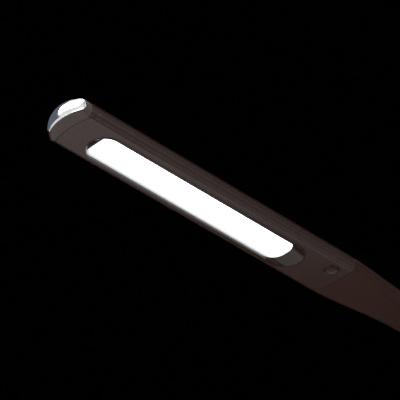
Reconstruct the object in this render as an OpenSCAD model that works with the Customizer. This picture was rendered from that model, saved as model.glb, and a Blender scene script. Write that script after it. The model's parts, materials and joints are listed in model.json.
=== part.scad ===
// Folding desk lamp: a long flat light head on a slim arm that folds onto a weighted base.
// Millimetres, +Z up, the desk is z = 0 and the head points along -Y.

/* [Head] */
// Width of the light head
head_w = 47; // [40:1:60]
// Thickness of the light head at its crown
head_t = 17.8; // [16:0.2:24]
// Length of the lower panel behind the light window
root_l = 41; // [34:1:60]
// Wall of the head's shells
head_wall = 2; // [1.6:0.1:2.4]
// Radius of the head's lower long edges
under_r = 5; // [3:0.5:6]
// Radius of the head's upper long edges
top_r = 7; // [5:0.5:8]
// Radius of the head's arched top
crown_r = 60; // [45:1:90]
// Height of the seam between lower panel and upper shell
seam_z = 6.6; // [6:0.1:8]
// Width of the gap that shows as a seam
seam_gap = 0.3; // [0.2:0.05:0.5]
// How far the nose reaches beyond the panel's seam
nose_l = 6.5; // [5:0.5:10]
// How far the underside has risen at the nose's front
nose_rise = 6; // [4:0.5:8]
// Radius of the nose in plan
nose_r = 46.7; // [40:1:80]

/* [Light window] */
// Width of the recess
recess_w = 27.4; // [22:0.2:28]
// Depth of the recess
recess_d = 2.6; // [2.6:0.1:4]
// Distance of the recess from the middle of the head, towards the side without the button
window_x = -1.5; // [-1.5:0.1:0]
// Distance from the head's front seam to the recess
recess_front = 26; // [18:0.5:30]
// Width of the lip round the recess
lip_w = 2.6; // [0.8:0.1:2.6]
// Length of the bright part of the diffuser
lit_l = 202; // [170:0.5:215]
// Length of the ramp between the recess's front end and the bright part
lit_front = 4.5; // [4:0.5:12]
// Length of the ramp between the bright part and the recess's back end
lit_back = 12; // [8:0.5:20]
// Corner radius of the bright part at its front end
lit_r = 5; // [3:0.5:10]
// Corner radius of the bright part at its back end
lit_back_r = 12; // [3:0.5:13]
// Thickness of the diffuser
diffuser_t = 1.2; // [1:0.1:2]
// Height of the light chamber between diffuser and diodes
chamber_h = 3.4; // [3:0.1:5]
// Number of diodes in each of the two rows
led_count = 20; // [12:1:26]
// Side of a diode
led_s = 2.8; // [2:0.1:3.5]

/* [End cap] */
// Width of the bright end cap
cap_w = 43; // [36:1:45]
// How far the cap bulges
cap_bulge = 3.6; // [2:0.1:6]
// Height of the cap
cap_h = 11; // [9:0.5:11.5]
// Thickness of the ring behind the cap
ring_t = 0.9; // [0.6:0.1:1.5]

/* [Button] */
// Diameter of the push button
button_d = 11.9; // [9:0.1:14]
// Distance of the button from the middle of the head
button_x = 10; // [7:0.5:11]
// Distance of the button from the neck's seam
button_back = 13.5; // [11:0.5:16]
// Travel of the button
button_travel = 0.8; // [0.5:0.1:1]
// Gap round the button
button_gap = 0.2; // [0.1:0.05:0.3]

/* [Neck] */
// Length from the neck's seam to the knuckle's axis
neck_l = 106; // [98:1:140]
// Length over which the neck narrows
taper_l = 94; // [80:1:110]
// Width of the neck at the knuckle
neck_w = 30; // [30:1:36]
// Distance of the knuckle's axis below the head's underside
knuckle_drop = 11.5; // [11:0.5:16]

/* [Arm] */
// Distance left between the folded head's cap and the base hinge's axis
fold_reach = 29.5; // [26:0.5:100]
// Width of the arm
arm_w = 34; // [32:1:40]
// Thickness of the arm
arm_t = 16; // [15:0.5:17]
// Wall of the arm's shells
arm_wall = 1.8; // [1.4:0.1:2]
// Radius of the arm's long edges
arm_r = 6; // [3:0.5:7]
// Distance from each axis to the end of the arm's shells
shoulder = 14; // [13.5:0.5:18]
// Width of the metal core
core_w = 19; // [18:0.5:20]
// Thickness of the metal core
core_t = 9; // [8:0.5:10]
// Wall of the metal core
core_wall = 1.5; // [1.2:0.1:2]

/* [Hinges] */
// Radius of the hinge pins
pin_r = 3; // [2.5:0.1:3.5]
// Radial running clearance of the pins
pin_gap = 0.05; // [0.02:0.01:0.1]
// Thickness of the friction washers
washer_t = 1; // [0.8:0.1:1.5]
// Axial running clearance on each side of a washer
side_gap = 0.1; // [0.05:0.05:0.3]
// Width of the lug at the base hinge
base_lug_w = 18; // [16:0.5:20]
// Thickness of each cheek of the base hinge
base_cheek_t = 6; // [5.5:0.5:8]
// Radius of the base hinge's cheeks
base_cheek_r = 10; // [9:0.5:12]
// Width of the lug at the knuckle
neck_lug_w = 13; // [12:0.5:15]
// Thickness of each cheek of the knuckle
neck_cheek_t = 5; // [4.5:0.1:5.5]
// Radius of the knuckle's cheeks
neck_cheek_r = 9; // [8.5:0.5:10]

/* [Base] */
// Width of the base
base_w = 150; // [140:1:180]
// Length of the base
base_l = 190; // [180:1:220]
// Thickness of the base with its pad
base_h = 20; // [20:0.5:26]
// Corner radius of the base in plan
base_r = 24; // [18:1:28]
// Radius of the base's upper edge
base_edge_r = 4; // [2:0.5:6]
// Wall of the base's cover
base_wall = 2; // [1.6:0.1:2.4]
// Thickness of the rubber pad
pad_t = 2; // [1.5:0.1:3]
// Thickness of the bottom plate
plate_t = 2.5; // [2:0.1:3]
// Thickness of the steel weight
weight_t = 8; // [6:0.5:8]
// Distance of the arm's hinge from the base's rear edge
hinge_inset = 24; // [22:1:30]
// Gap between the folded head and the base
fold_gap = 3; // [2:0.5:8]
// Distance of the power inlet from the middle
jack_x = 42; // [30:1:45]

/* [Hidden] */
$fn = 48;
eps = 0.01;

// Colours
brown = [0.27, 0.24, 0.22];
dark = [0.12, 0.11, 0.11];
steel = [0.62, 0.63, 0.65];
bright = [0.85, 0.86, 0.88];
white = [0.95, 0.96, 0.97];
green = [0.10, 0.30, 0.18];
brass = [0.72, 0.58, 0.30];

// The head's length follows its light window, and the arm's length follows the head that folds along it
recess_l = lit_front + lit_l + lit_back;
panel_l = recess_front + recess_l + root_l;
head_reach = neck_l + panel_l + nose_l + ring_t + cap_bulge;
arm_l = head_reach + fold_reach;

// Hinge axes and the head's own frame: y = 0 at the panel's front seam, z = 0 on the underside
hinge_y = base_l / 2 - hinge_inset;
hinge_z = base_h + fold_gap + head_t + knuckle_drop;
knuckle_z = hinge_z + arm_l;
head_y = hinge_y - neck_l - panel_l;
head_z = knuckle_z + knuckle_drop;
knuckle_y = panel_l + neck_l;

// Light window, in the head's frame
lit_y = recess_front + lit_front;
flange_w = lip_w + 0.6;
tray_lap = 3;
tray_w = recess_w + 2 * tray_lap;
tray_front = lit_y - tray_lap;
tray_l = lit_l + 2 * tray_lap;
tray_wall = 1.2;
diffuser_z = recess_d;
tray_z = diffuser_z + diffuser_t;
board_z = tray_z + chamber_h;
board_t = 1.2;
led_h = 0.8;
spreader_z = board_z + board_t;
spreader_t = 2;
spreader_top = spreader_z + spreader_t;
spreader_end = panel_l - 20;
tongue_l = 36;
tongue_w = 14;
tongue_t = 1.6;
tongue_top = spreader_top + tongue_t;
tongue_screw_y = spreader_end - 10;
collar_l = recess_l + 2 * lip_w;
led_inset = 6;
led_row_x = 7.5;

// Nose and cap, in the head's frame
nose_corner_r = 8;
nose_back = 6;
seam_y = 1.2;
panel_corner_r = 9;
panel_bow_r = 75;
rear_corner_r = 16;
rear_corner_end = 160;
peg_r = 2;
peg_z = nose_rise + cap_h / 2;

// Neck, in the head's frame
beam_z = 5;
beam_h = 7.4;
web_z = neck_cheek_r + 1 - knuckle_drop;
neck_blend = 8;

// Button, in the head's frame
button_y = panel_l - button_back;
button_proud = 0.5;
button_skirt = 1;
button_flange = 1.4;
stem_r = 1.6;
button_in = head_wall + 0.1;
button_top = button_in + button_skirt;
switch_z = 6.6;
switch_low = switch_z - button_travel - 1;
switch_board_z = 8.4;
spring_gap = 0.05;

// Small screws
screw_r = 1.25;
screw_head_r = 2.4;
screw_head_h = 1.4;
screw_up = spreader_t + 3.6;
spreader_screw_y = [tray_front + 18, tray_front + tray_l / 2, tray_front + tray_l - 18];

// Base
cover_in_z = base_h - base_wall;
weight_z = pad_t + plate_t;
weight_top = weight_z + weight_t;
weight_inset_x = 12;
weight_inset_y = 19;
boss_inset = 10.5;
boss_r = 4;
base_screw_in = 7;
post_foot_t = hinge_z - base_cheek_r - 2 - weight_top;
post_screw_x = 10;
post_screw_y = 6;
post_screw_in = 5;
jack_w = 9;
jack_l = 13;
jack_h = 10.5;
jack_r = 3.2;
jack_z = weight_z + jack_h / 2;
plug_pin_r = 1;

// Arm
wire_r = 1.6;
core_grip = 30;
core_inset = 4.4;
core_z0 = hinge_z + shoulder + core_inset;
core_l = arm_l - 2 * (shoulder + core_inset);
arm_screw_z = [for (i = [0:3]) core_z0 + core_l * (0.12 + 0.76 * i / 3)];

// Points along an arc
function arc(cx, cy, r, a0, a1, n = 8) =
    [for (i = [0:n]) [cx + r * cos(a0 + (a1 - a0) * i / n), cy + r * sin(a0 + (a1 - a0) * i / n)]];

// A list without its first and last members
function inner(list) = [for (i = [1:len(list) - 2]) list[i]];

// An arched line between two sides: a wide arc whose top is at t, blended into each side by a corner arc
function arch(w2, t, corner, wide) =
    let (c = t - wide,
         k = c + sqrt(pow(wide - corner, 2) - pow(w2 - corner, 2)),
         f = atan2(k - c, w2 - corner))
    concat(arc(w2 - corner, k, corner, 0, f), inner(arc(0, c, wide, f, 180 - f, 16)),
           arc(corner - w2, k, corner, 180 - f, 180));

// Outline across the head: flat underside, round edges and an arched top, shrunk by an inset
function section(w, t, inset = 0) =
    let (w2 = w / 2 - inset, rb = max(under_r - inset, 0.8), rt = max(top_r - inset, 0.8))
    concat(arc(w2 - rb, inset + rb, rb, -90, 0), arch(w2, t - inset, rt, crown_r - inset),
           arc(rb - w2, inset + rb, rb, 180, 270));

// A smooth step from 0 to 1
function ease(u) = let (v = min(max(u, 0), 1)) v * v * (3 - 2 * v);

// Extrudes an outline drawn in x and z along y
module along_y(y0, y1) translate([0, y1, 0]) rotate([90, 0, 0]) linear_extrude(y1 - y0) children();

// Turns a cylinder's axis onto x, centred
module across_x(h) rotate([0, 90, 0]) translate([0, 0, -h / 2]) children();

// A plate with round corners, centred on x and y
module rounded(w, l, r) {
    square([w - 2 * r, l], center = true);
    square([w, l - 2 * r], center = true);
    for (x = [-1, 1], y = [-1, 1]) translate([x * (w / 2 - r), y * (l / 2 - r)]) circle(r);
}

// A plate with half-round ends, centred, its length along y
module stadium(w, l) {
    square([w, l - w], center = true);
    for (y = [-1, 1]) translate([0, y * (l - w) / 2]) circle(w / 2);
}

// A rounded plate over the light window, in the head's frame
module slot_plate(y0, l, w, r, z0, h) translate([window_x, y0 + l / 2, z0]) linear_extrude(h) rounded(w, l, r);

// Joins outlines along y into one solid
module loft(ys, outlines) {
    n = len(outlines[0]);
    m = len(ys);
    polyhedron(points = [for (j = [0:m - 1], p = outlines[j]) [p[0], ys[j], p[1]]],
               faces = concat([[for (i = [n - 1:-1:0]) i]],
                              [[for (i = [0:n - 1]) (m - 1) * n + i]],
                              [for (j = [0:m - 2], i = [0:n - 1])
                                  [j * n + i, j * n + (i + 1) % n, (j + 1) * n + (i + 1) % n,
                                   (j + 1) * n + i]]));
}

module at_head() translate([0, head_y, head_z]) children();
module at_knuckle() translate([0, hinge_y, knuckle_z]) children();
module at_hinge() translate([0, hinge_y, hinge_z]) children();

// ---- hinge pieces, shared by the base hinge and the knuckle ----

pin_head_r = 5;
pin_head_h = 2.2;
nut_r = 5.6;
nut_h = 2.6;
cap_t = 1;
cap_proud = 0.8;
recess_r = 6.4;
recess_gap = 0.2;

function cheek_in(lug_w) = lug_w / 2 + washer_t + 2 * side_gap;
function cheek_out(lug_w, cheek_t) = cheek_in(lug_w) + cheek_t;

// Cut in a cheek's outer face for the pin's head or nut and the cap
module cheek_recess(lug_w, cheek_t, side) {
    out = cheek_out(lug_w, cheek_t);
    depth = nut_h + cap_t;
    translate([side * (out - depth / 2 + eps), 0, 0]) across_x(depth + 2 * eps) cylinder(r = recess_r, h = depth + 2 * eps);
}

module hinge_bolt(lug_w, cheek_t) {
    out = cheek_out(lug_w, cheek_t);
    seat = out - nut_h - cap_t;
    translate([-seat - pin_head_h / 2, 0, 0]) across_x(pin_head_h) cylinder(r = pin_head_r, h = pin_head_h);
    translate([-seat, 0, 0]) rotate([0, 90, 0]) cylinder(r = pin_r, h = 2 * seat + nut_h);
}

module hinge_nut(lug_w, cheek_t) {
    seat = cheek_out(lug_w, cheek_t) - nut_h - cap_t;
    translate([seat, 0, 0]) rotate([0, 90, 0]) difference() {
        cylinder(r = nut_r, h = nut_h, $fn = 6);
        translate([0, 0, -eps]) cylinder(r = pin_r, h = nut_h + 2 * eps);
    }
}

module hinge_washers(lug_w, r) {
    for (side = [-1, 1]) translate([side * (lug_w / 2 + side_gap + washer_t / 2), 0, 0])
        across_x(washer_t) difference() {
            cylinder(r = r - 1.5, h = washer_t);
            translate([0, 0, -eps]) cylinder(r = pin_r + pin_gap, h = washer_t + 2 * eps);
        }
}

module hinge_caps(lug_w, cheek_t) {
    out = cheek_out(lug_w, cheek_t);
    for (side = [-1, 1]) translate([side * (out - cap_t), 0, 0]) rotate([0, side * 90, 0]) {
        cylinder(r = recess_r - recess_gap, h = cap_t);
        translate([0, 0, cap_t - eps]) cylinder(r1 = recess_r - recess_gap, r2 = recess_r - 1.6, h = cap_proud + eps);
    }
}

module pin_bore(length, gap = pin_gap) across_x(length) cylinder(r = pin_r + gap, h = length);

// ---- base ----

// The base's outer block with a rounded upper edge, from z0 to its top, shrunk by an inset
module base_block(z0, inset) {
    e = base_edge_r - inset / 2;
    r = base_r - inset;
    top = base_h - inset;
    hull() for (x = [-1, 1], y = [-1, 1])
        translate([x * (base_w / 2 - base_r), y * (base_l / 2 - base_r), 0])
            rotate_extrude($fn = 32) {
                translate([0, z0]) square([r, top - e - z0]);
                translate([0, z0]) square([r - e, top - z0]);
                translate([r - e, top - e]) circle(e, $fn = 32);
            }
}

module foot_pad() {
    color(dark) linear_extrude(pad_t) rounded(base_w - 6, base_l - 6, base_r - 3);
}

// Where the four cover bosses stand
module each_boss() {
    for (x = [-1, 1], y = [-1, 1])
        translate([x * (base_w / 2 - boss_inset), y * (base_l / 2 - boss_inset), 0]) children();
}

module base_plate() {
    plate_inset = base_wall + 0.2;
    color(dark) difference() {
        translate([0, 0, pad_t]) linear_extrude(plate_t)
            rounded(base_w - 2 * plate_inset, base_l - 2 * plate_inset, base_r - plate_inset);
        each_boss() {
            translate([0, 0, pad_t - eps]) cylinder(r = screw_r + 0.2, h = plate_t + 2 * eps);
            translate([0, 0, pad_t - eps]) cylinder(r = screw_head_r + 0.2, h = screw_head_h + eps);
        }
    }
}

module base_screws() {
    color(steel) each_boss() translate([0, 0, pad_t]) {
        cylinder(r = screw_head_r, h = screw_head_h);
        cylinder(r = screw_r, h = plate_t + base_screw_in);
    }
}

module base_weight() {
    w = base_w - 2 * weight_inset_x;
    l = base_l - 2 * weight_inset_y;
    notch = jack_w + 3;
    color(steel) difference() {
        translate([0, 0, weight_z]) linear_extrude(weight_t) rounded(w, l, 8);
        translate([-jack_x - notch / 2, base_l / 2 - base_wall - jack_l - 2, weight_z - eps])
            cube([notch, jack_l + 10, weight_t + 2 * eps]);
        each_post_screw() {
            translate([0, 0, weight_z - eps]) cylinder(r = screw_r + 0.2, h = weight_t + 2 * eps);
            translate([0, 0, weight_z - eps]) cylinder(r = screw_head_r + 0.2, h = screw_head_h + eps);
        }
    }
}

module base_cover() {
    cut_w = 2 * cheek_out(base_lug_w, base_cheek_t) + 0.6;
    cut_l = 2 * base_cheek_r + 0.6;
    color(brown) difference() {
        union() {
            difference() {
                base_block(pad_t, 0);
                base_block(pad_t - 1, base_wall);
            }
            each_boss() translate([0, 0, weight_z]) cylinder(r = boss_r, h = cover_in_z - weight_z + eps);
        }
        each_boss() translate([0, 0, weight_z - eps]) cylinder(r = screw_r, h = base_screw_in + eps);
        translate([-cut_w / 2, hinge_y - cut_l / 2, cover_in_z - 1]) cube([cut_w, cut_l, base_wall + 2]);
        translate([-jack_x, base_l / 2 + 1, jack_z]) rotate([90, 0, 0]) cylinder(r = jack_r + 0.6, h = base_wall + 3);
    }
}

module driver_board() {
    board_w = 56;
    board_l = 62;
    board_y = -18;
    foot_h = 1;
    foot_in = 4;
    thick = 1.4;
    part_z = foot_h + thick - 0.2;
    chip = [14, 12, 2];
    coil = [16, 16, 2.4];
    block = [10, 14, 1.8];
    can_r = 3.6;
    can_h = 2.6;
    color(green) translate([0, board_y, weight_top]) {
        for (x = [-1, 1], y = [-1, 1]) translate([x * (board_w / 2 - foot_in), y * (board_l / 2 - foot_in), 0])
            cylinder(r = foot_in / 2, h = foot_h + thick / 2);
        translate([-board_w / 2, -board_l / 2, foot_h]) cube([board_w, board_l, thick]);
        translate([-board_w / 3, -board_l / 3, part_z]) cube(chip);
        translate([foot_in, -board_l / 3, part_z]) cube(coil);
        translate([-board_w / 3, foot_in * 2, part_z]) cube(block);
        translate([board_w / 8, board_l / 6, part_z]) cylinder(r = can_r, h = can_h);
    }
}

module power_jack() {
    back = base_l / 2 - base_wall;
    color(dark) difference() {
        union() {
            translate([-jack_x - jack_w / 2, back - jack_l, weight_z]) cube([jack_w, jack_l, jack_h]);
            translate([-jack_x, back + base_wall - 0.6, jack_z]) rotate([90, 0, 0]) cylinder(r = jack_r + 0.4, h = base_wall + 1);
        }
        translate([-jack_x, back + base_wall + 1, jack_z]) rotate([90, 0, 0]) {
            cylinder(r = jack_r - 0.4, h = jack_l - 1);
            cylinder(r = plug_pin_r, h = jack_l + base_wall + 2);
        }
    }
}

module jack_pin() {
    mouth = base_l / 2 - 2.4;
    color(brass) translate([-jack_x, mouth, jack_z]) rotate([90, 0, 0])
        cylinder(r = plug_pin_r, h = jack_l + base_wall - 2.4 - 1.6);
}

// ---- base hinge ----

// Where the four screws that hold the hinge post stand
module each_post_screw() {
    for (x = [-1, 1], y = [-1, 1]) translate([x * post_screw_x, hinge_y + y * post_screw_y, 0]) children();
}

module hinge_post() {
    in = cheek_in(base_lug_w);
    out = cheek_out(base_lug_w, base_cheek_t);
    color(brown) difference() {
        union() {
            for (side = [-1, 1]) {
                at_hinge() translate([side * (in + out) / 2, 0, 0]) across_x(out - in)
                    cylinder(r = base_cheek_r, h = out - in);
                translate([side > 0 ? in : -out, hinge_y - base_cheek_r, weight_top])
                    cube([out - in, 2 * base_cheek_r, hinge_z - weight_top]);
            }
            translate([-out, hinge_y - base_cheek_r, weight_top]) cube([2 * out, 2 * base_cheek_r, post_foot_t]);
        }
        for (side = [-1, 1]) at_hinge() cheek_recess(base_lug_w, base_cheek_t, side);
        at_hinge() pin_bore(4 * out, 0);
        each_post_screw() translate([0, 0, weight_top - eps]) cylinder(r = screw_r, h = post_screw_in + eps);
        translate([0, hinge_y, weight_top - eps]) cylinder(r = wire_r + 1, h = post_foot_t + 2 * eps);
    }
}

module post_screws() {
    color(steel) each_post_screw() translate([0, 0, weight_z]) {
        cylinder(r = screw_head_r, h = screw_head_h);
        cylinder(r = screw_r, h = weight_t + post_screw_in - 0.5);
    }
}

module base_hinge_pin() color(steel) at_hinge() hinge_bolt(base_lug_w, base_cheek_t);
module base_hinge_nut() color(steel) at_hinge() hinge_nut(base_lug_w, base_cheek_t);
module base_hinge_washers() color(brass) at_hinge() hinge_washers(base_lug_w, base_cheek_r);
module base_hinge_caps() color(brown) at_hinge() hinge_caps(base_lug_w, base_cheek_t);

// ---- arm ----

// The arm's outline across, shrunk by an inset
module arm_outline(inset) rounded(arm_w - 2 * inset, arm_t - 2 * inset, arm_r - inset);

// A lug that turns on a hinge pin and reaches into the arm's core, drawn upwards from its axis
module arm_lug(lug_w, r) {
    neck_t = core_t + 1;
    difference() {
        union() {
            across_x(lug_w) cylinder(r = r, h = lug_w);
            translate([-lug_w / 2, -neck_t / 2, 0]) cube([lug_w, neck_t, shoulder + core_inset]);
            translate([-(core_w / 2 - core_wall), -(core_t / 2 - core_wall), shoulder + core_inset / 2])
                cube([core_w - 2 * core_wall, core_t - 2 * core_wall, core_inset / 2 + core_grip]);
        }
        pin_bore(2 * lug_w);
    }
}

module arm_lower_lug() color(steel) at_hinge() arm_lug(base_lug_w, base_cheek_r - 0.5);
module arm_upper_lug() color(steel) at_knuckle() mirror([0, 0, 1]) arm_lug(neck_lug_w, neck_cheek_r - 0.5);

module arm_core() {
    color(steel) difference() {
        translate([0, hinge_y, core_z0]) linear_extrude(core_l) difference() {
            square([core_w, core_t], center = true);
            square([core_w - 2 * core_wall, core_t - 2 * core_wall], center = true);
        }
        for (z = arm_screw_z) translate([0, hinge_y + core_t, z]) rotate([90, 0, 0])
            cylinder(r = screw_r, h = core_t);
    }
}

// Both halves of the arm's cover before they part: a closed box with a slot at each end for a lug
module arm_cover() {
    z0 = hinge_z + shoulder;
    l = arm_l - 2 * shoulder;
    difference() {
        translate([0, hinge_y, z0]) linear_extrude(l) arm_outline(0);
        translate([0, hinge_y, z0 + arm_wall]) linear_extrude(l - 2 * arm_wall) arm_outline(arm_wall);
        translate([0, hinge_y, z0 + arm_wall]) cube([base_lug_w + 0.4, core_t + 1.4, 2 * arm_wall + 1], center = true);
        translate([0, hinge_y, z0 + l - arm_wall]) cube([neck_lug_w + 0.4, core_t + 1.4, 2 * arm_wall + 1], center = true);
    }
}

// Half space in front of or behind the arm's parting plane
module arm_half(side) {
    translate([-arm_w, side < 0 ? hinge_y - arm_t : hinge_y + seam_gap / 2, hinge_z])
        cube([2 * arm_w, arm_t - (side < 0 ? seam_gap / 2 : 0), arm_l]);
}

module arm_front_shell() {
    color(brown) intersection() {
        arm_cover();
        arm_half(-1);
    }
}

module arm_rear_shell() {
    color(brown) difference() {
        intersection() {
            arm_cover();
            arm_half(1);
        }
        for (z = arm_screw_z) translate([0, hinge_y + arm_t, z]) rotate([90, 0, 0]) cylinder(r = screw_r + 0.2, h = arm_t);
    }
}

module arm_screws() {
    color(steel) for (z = arm_screw_z) translate([0, hinge_y + arm_t / 2 + 0.6, z]) rotate([90, 0, 0]) {
        cylinder(r = screw_head_r, h = 0.6);
        cylinder(r = screw_r, h = arm_t / 2 + 0.6 - core_t / 2 + core_wall);
    }
}

module arm_lead() {
    inset = 6;
    color(dark) translate([core_w / 2 + wire_r + 0.4, hinge_y, hinge_z + shoulder + inset])
        cylinder(r = wire_r, h = arm_l - 2 * shoulder - 2 * inset);
}

// ---- knuckle and neck ----

// Everything here is in the head's frame
module at_pivot() translate([0, knuckle_y, -knuckle_drop]) children();

module neck_bracket() {
    in = cheek_in(neck_lug_w);
    out = cheek_out(neck_lug_w, neck_cheek_t);
    beam_y = panel_l - 4;
    color(steel) at_head() difference() {
        union() {
            for (side = [-1, 1]) {
                at_pivot() translate([side * (in + out) / 2, 0, 0]) across_x(out - in)
                    cylinder(r = neck_cheek_r, h = out - in);
                translate([side > 0 ? in : -out, knuckle_y - neck_cheek_r, -knuckle_drop])
                    cube([out - in, 2 * neck_cheek_r, knuckle_drop + beam_z + beam_h]);
            }
            translate([-out, knuckle_y - neck_cheek_r, web_z]) cube([2 * out, 2 * neck_cheek_r, beam_z + beam_h - web_z]);
            translate([-tongue_w / 2, beam_y, beam_z]) cube([tongue_w, neck_l + 4, beam_h]);
            translate([-tongue_w / 2, beam_y - tongue_l, spreader_top]) cube([tongue_w, tongue_l + 12, tongue_t]);
        }
        for (side = [-1, 1]) at_pivot() cheek_recess(neck_lug_w, neck_cheek_t, side);
        at_pivot() pin_bore(4 * out, 0);
        translate([0, tongue_screw_y, 0]) cylinder(r = screw_r + 0.2, h = head_t);
    }
}

module knuckle_pin() color(steel) at_knuckle() hinge_bolt(neck_lug_w, neck_cheek_t);
module knuckle_nut() color(steel) at_knuckle() hinge_nut(neck_lug_w, neck_cheek_t);
module knuckle_washers() color(brass) at_knuckle() hinge_washers(neck_lug_w, neck_cheek_r);
module knuckle_caps() color(brown) at_knuckle() hinge_caps(neck_lug_w, neck_cheek_t);

neck_end = knuckle_y + neck_cheek_r + 4;
neck_end_r = 5;

// Width of the neck along its length
function neck_width(y) = head_w - (head_w - neck_w) * ease((y - panel_l + neck_blend) / taper_l);

// The neck's solid from a place on y, shrunk by an inset and closed by a rounded end
module neck_block(y0, inset) {
    straight = [for (i = [0:10]) y0 + (neck_end - neck_end_r - y0) * i / 10];
    turn = [for (i = [1:4]) 90 * i / 5];
    ys = concat(straight, [for (a = turn) neck_end - neck_end_r + (neck_end_r - inset) * sin(a)]);
    shrink = concat([for (y = straight) inset], [for (a = turn) inset + (neck_end_r - inset) * (1 - cos(a))]);
    loft(ys, [for (j = [0:len(ys) - 1]) section(neck_width(ys[j]), head_t, shrink[j])]);
}

module neck_cover(y0) {
    out = cheek_out(neck_lug_w, neck_cheek_t);
    difference() {
        neck_block(y0, 0);
        neck_block(y0 - 1, head_wall);
        translate([-out - 0.3, knuckle_y - neck_cheek_r - 0.3, -1])
            cube([2 * out + 0.6, 2 * neck_cheek_r + 0.6, beam_z + 2]);
    }
}

module neck_top_shell() {
    color(brown) at_head() intersection() {
        neck_cover(panel_l + seam_gap);
        translate([-head_w, 0, seam_z + seam_gap / 2]) cube([2 * head_w, 2 * knuckle_y, head_t]);
    }
}

// The lower half also fills the panel's round corner
module neck_bottom_shell() {
    color(brown) at_head() difference() {
        intersection() {
            neck_cover(panel_l - rear_corner_r);
            translate([-head_w, 0, seam_z - seam_gap / 2 - head_t]) cube([2 * head_w, 2 * knuckle_y, head_t]);
        }
        before_seam();
    }
}

// ---- head ----

module head_outline(inset) polygon(section(head_w, head_t, inset));

// The nose in plan, moved forward by a distance
module nose_plan(forward, z0, h) {
    pts = arch(head_w / 2, nose_l, nose_corner_r, nose_r);
    translate([0, -forward, z0]) linear_extrude(h)
        polygon(concat([for (p = pts) [p[0], -p[1]]], [[-head_w / 2, 60], [head_w / 2, 60]]));
}

// The nose's solid in front of the panel: its underside curves up to the cap and its front is arched
module nose_solid() {
    rise_r = (pow(nose_l, 2) + pow(nose_rise, 2)) / (2 * nose_rise);
    intersection() {
        along_y(-nose_l - 1, nose_back) head_outline(0);
        nose_plan(0, -1, head_t + 2);
        union() {
            translate([-head_w, 0, -1]) cube([2 * head_w, 60, head_t + 2]);
            translate([-head_w, -nose_l - 1, nose_rise]) cube([2 * head_w, 60, head_t]);
            translate([0, 0, rise_r]) across_x(2 * head_w) cylinder(r = rise_r, h = 2 * head_w, $fn = 96);
        }
    }
}

// The front seam from side to side: bowed, with round corners, moved back by a gap
function front_seam(gap) =
    let (g = seam_gap - gap)
    [for (p = arch(head_w / 2 + g, -gap, panel_corner_r + g, panel_bow_r + g)) [p[0], seam_y - p[1]]];

// The rear seam from side to side, moved back by a gap: straight, with one large round corner
function rear_seam(gap, w2) =
    let (r = rear_corner_r, cx = r - head_w / 2, cy = panel_l - r)
    concat([[-w2, cy + r * sin(rear_corner_end) + gap]], arc(cx, cy, r + gap, rear_corner_end, 90),
           [[w2, panel_l + gap]]);

// Everything below the side seam and behind the front seam
module below_seam() {
    translate([0, 0, -1]) linear_extrude(seam_z + 1)
        polygon(concat(front_seam(0), [[-head_w, 20], [-head_w, panel_l + 1], [head_w, panel_l + 1], [head_w, 20]]));
}

// Everything in front of the rear seam
module before_seam() {
    translate([0, 0, -1]) linear_extrude(seam_z + 1) polygon(concat(rear_seam(seam_gap, head_w), [[head_w, 0], [-head_w, 0]]));
}

module head_top_shell() {
    boss_top = head_t - head_wall / 2;
    color(brown) at_head() difference() {
        union() {
            difference() {
                union() {
                    along_y(nose_back - 1, panel_l) head_outline(0);
                    nose_solid();
                }
                along_y(nose_back, panel_l + 1) head_outline(head_wall);
            }
            for (y = spreader_screw_y) translate([0, y, spreader_top]) cylinder(r = 3.2, h = boss_top - spreader_top);
            translate([0, tongue_screw_y, tongue_top]) cylinder(r = 3.2, h = boss_top - tongue_top);
        }
        below_seam();
        each_head_screw() translate([0, 0, spreader_z]) cylinder(r = screw_r, h = screw_up);
        translate([0, nose_back, peg_z]) rotate([90, 0, 0]) cylinder(r = peg_r + 0.05, h = 2 * nose_l);
    }
}

module head_bottom_panel() {
    color(brown) at_head() difference() {
        intersection() {
            difference() {
                along_y(0, panel_l) head_outline(0);
                along_y(-1, panel_l + 1) head_outline(head_wall);
            }
            translate([0, 0, -1]) linear_extrude(seam_z + 1 - seam_gap / 2)
                polygon(concat(front_seam(seam_gap), rear_seam(0, head_w / 2)));
        }
        translate([window_x, recess_front - lip_w + collar_l / 2, -1]) linear_extrude(head_wall + 2)
            stadium(recess_w + 2 * lip_w + 0.1, collar_l + 0.1);
        translate([button_x, button_y, -1]) cylinder(r = button_d / 2 + button_gap, h = head_wall + 2);
    }
}

module window_bezel() {
    middle = recess_front + recess_l / 2;
    color(dark) at_head() difference() {
        union() {
            translate([window_x, middle, 0]) linear_extrude(recess_d) stadium(recess_w + 2 * lip_w, collar_l);
            translate([window_x, middle, head_wall]) linear_extrude(recess_d - head_wall)
                stadium(recess_w + 2 * flange_w, recess_l + 2 * flange_w);
        }
        hull() {
            translate([window_x, middle, -eps]) linear_extrude(eps) stadium(recess_w, recess_l);
            slot_plate(lit_y, lit_l / 2, recess_w, lit_r, recess_d, eps);
            slot_plate(lit_y + lit_l / 2, lit_l / 2, recess_w, lit_back_r, recess_d, eps);
        }
    }
}

module diffuser() {
    color(white) at_head() slot_plate(tray_front, tray_l, tray_w, lit_r + tray_lap, diffuser_z, diffuser_t);
}

module reflector_tray() {
    color(white) at_head() difference() {
        slot_plate(tray_front, tray_l, tray_w, lit_r + tray_lap, tray_z, chamber_h);
        slot_plate(tray_front + tray_wall, tray_l - 2 * tray_wall, tray_w - 2 * tray_wall,
                   lit_r + tray_lap - tray_wall, tray_z - eps, chamber_h + 2 * eps);
    }
}

module led_board() {
    color(white) at_head() difference() {
        slot_plate(tray_front, tray_l, tray_w, lit_r + tray_lap, board_z, board_t);
        each_spreader_screw() translate([0, 0, board_z - eps]) cylinder(r = screw_r + 0.2, h = board_t + 2 * eps);
    }
}

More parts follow.
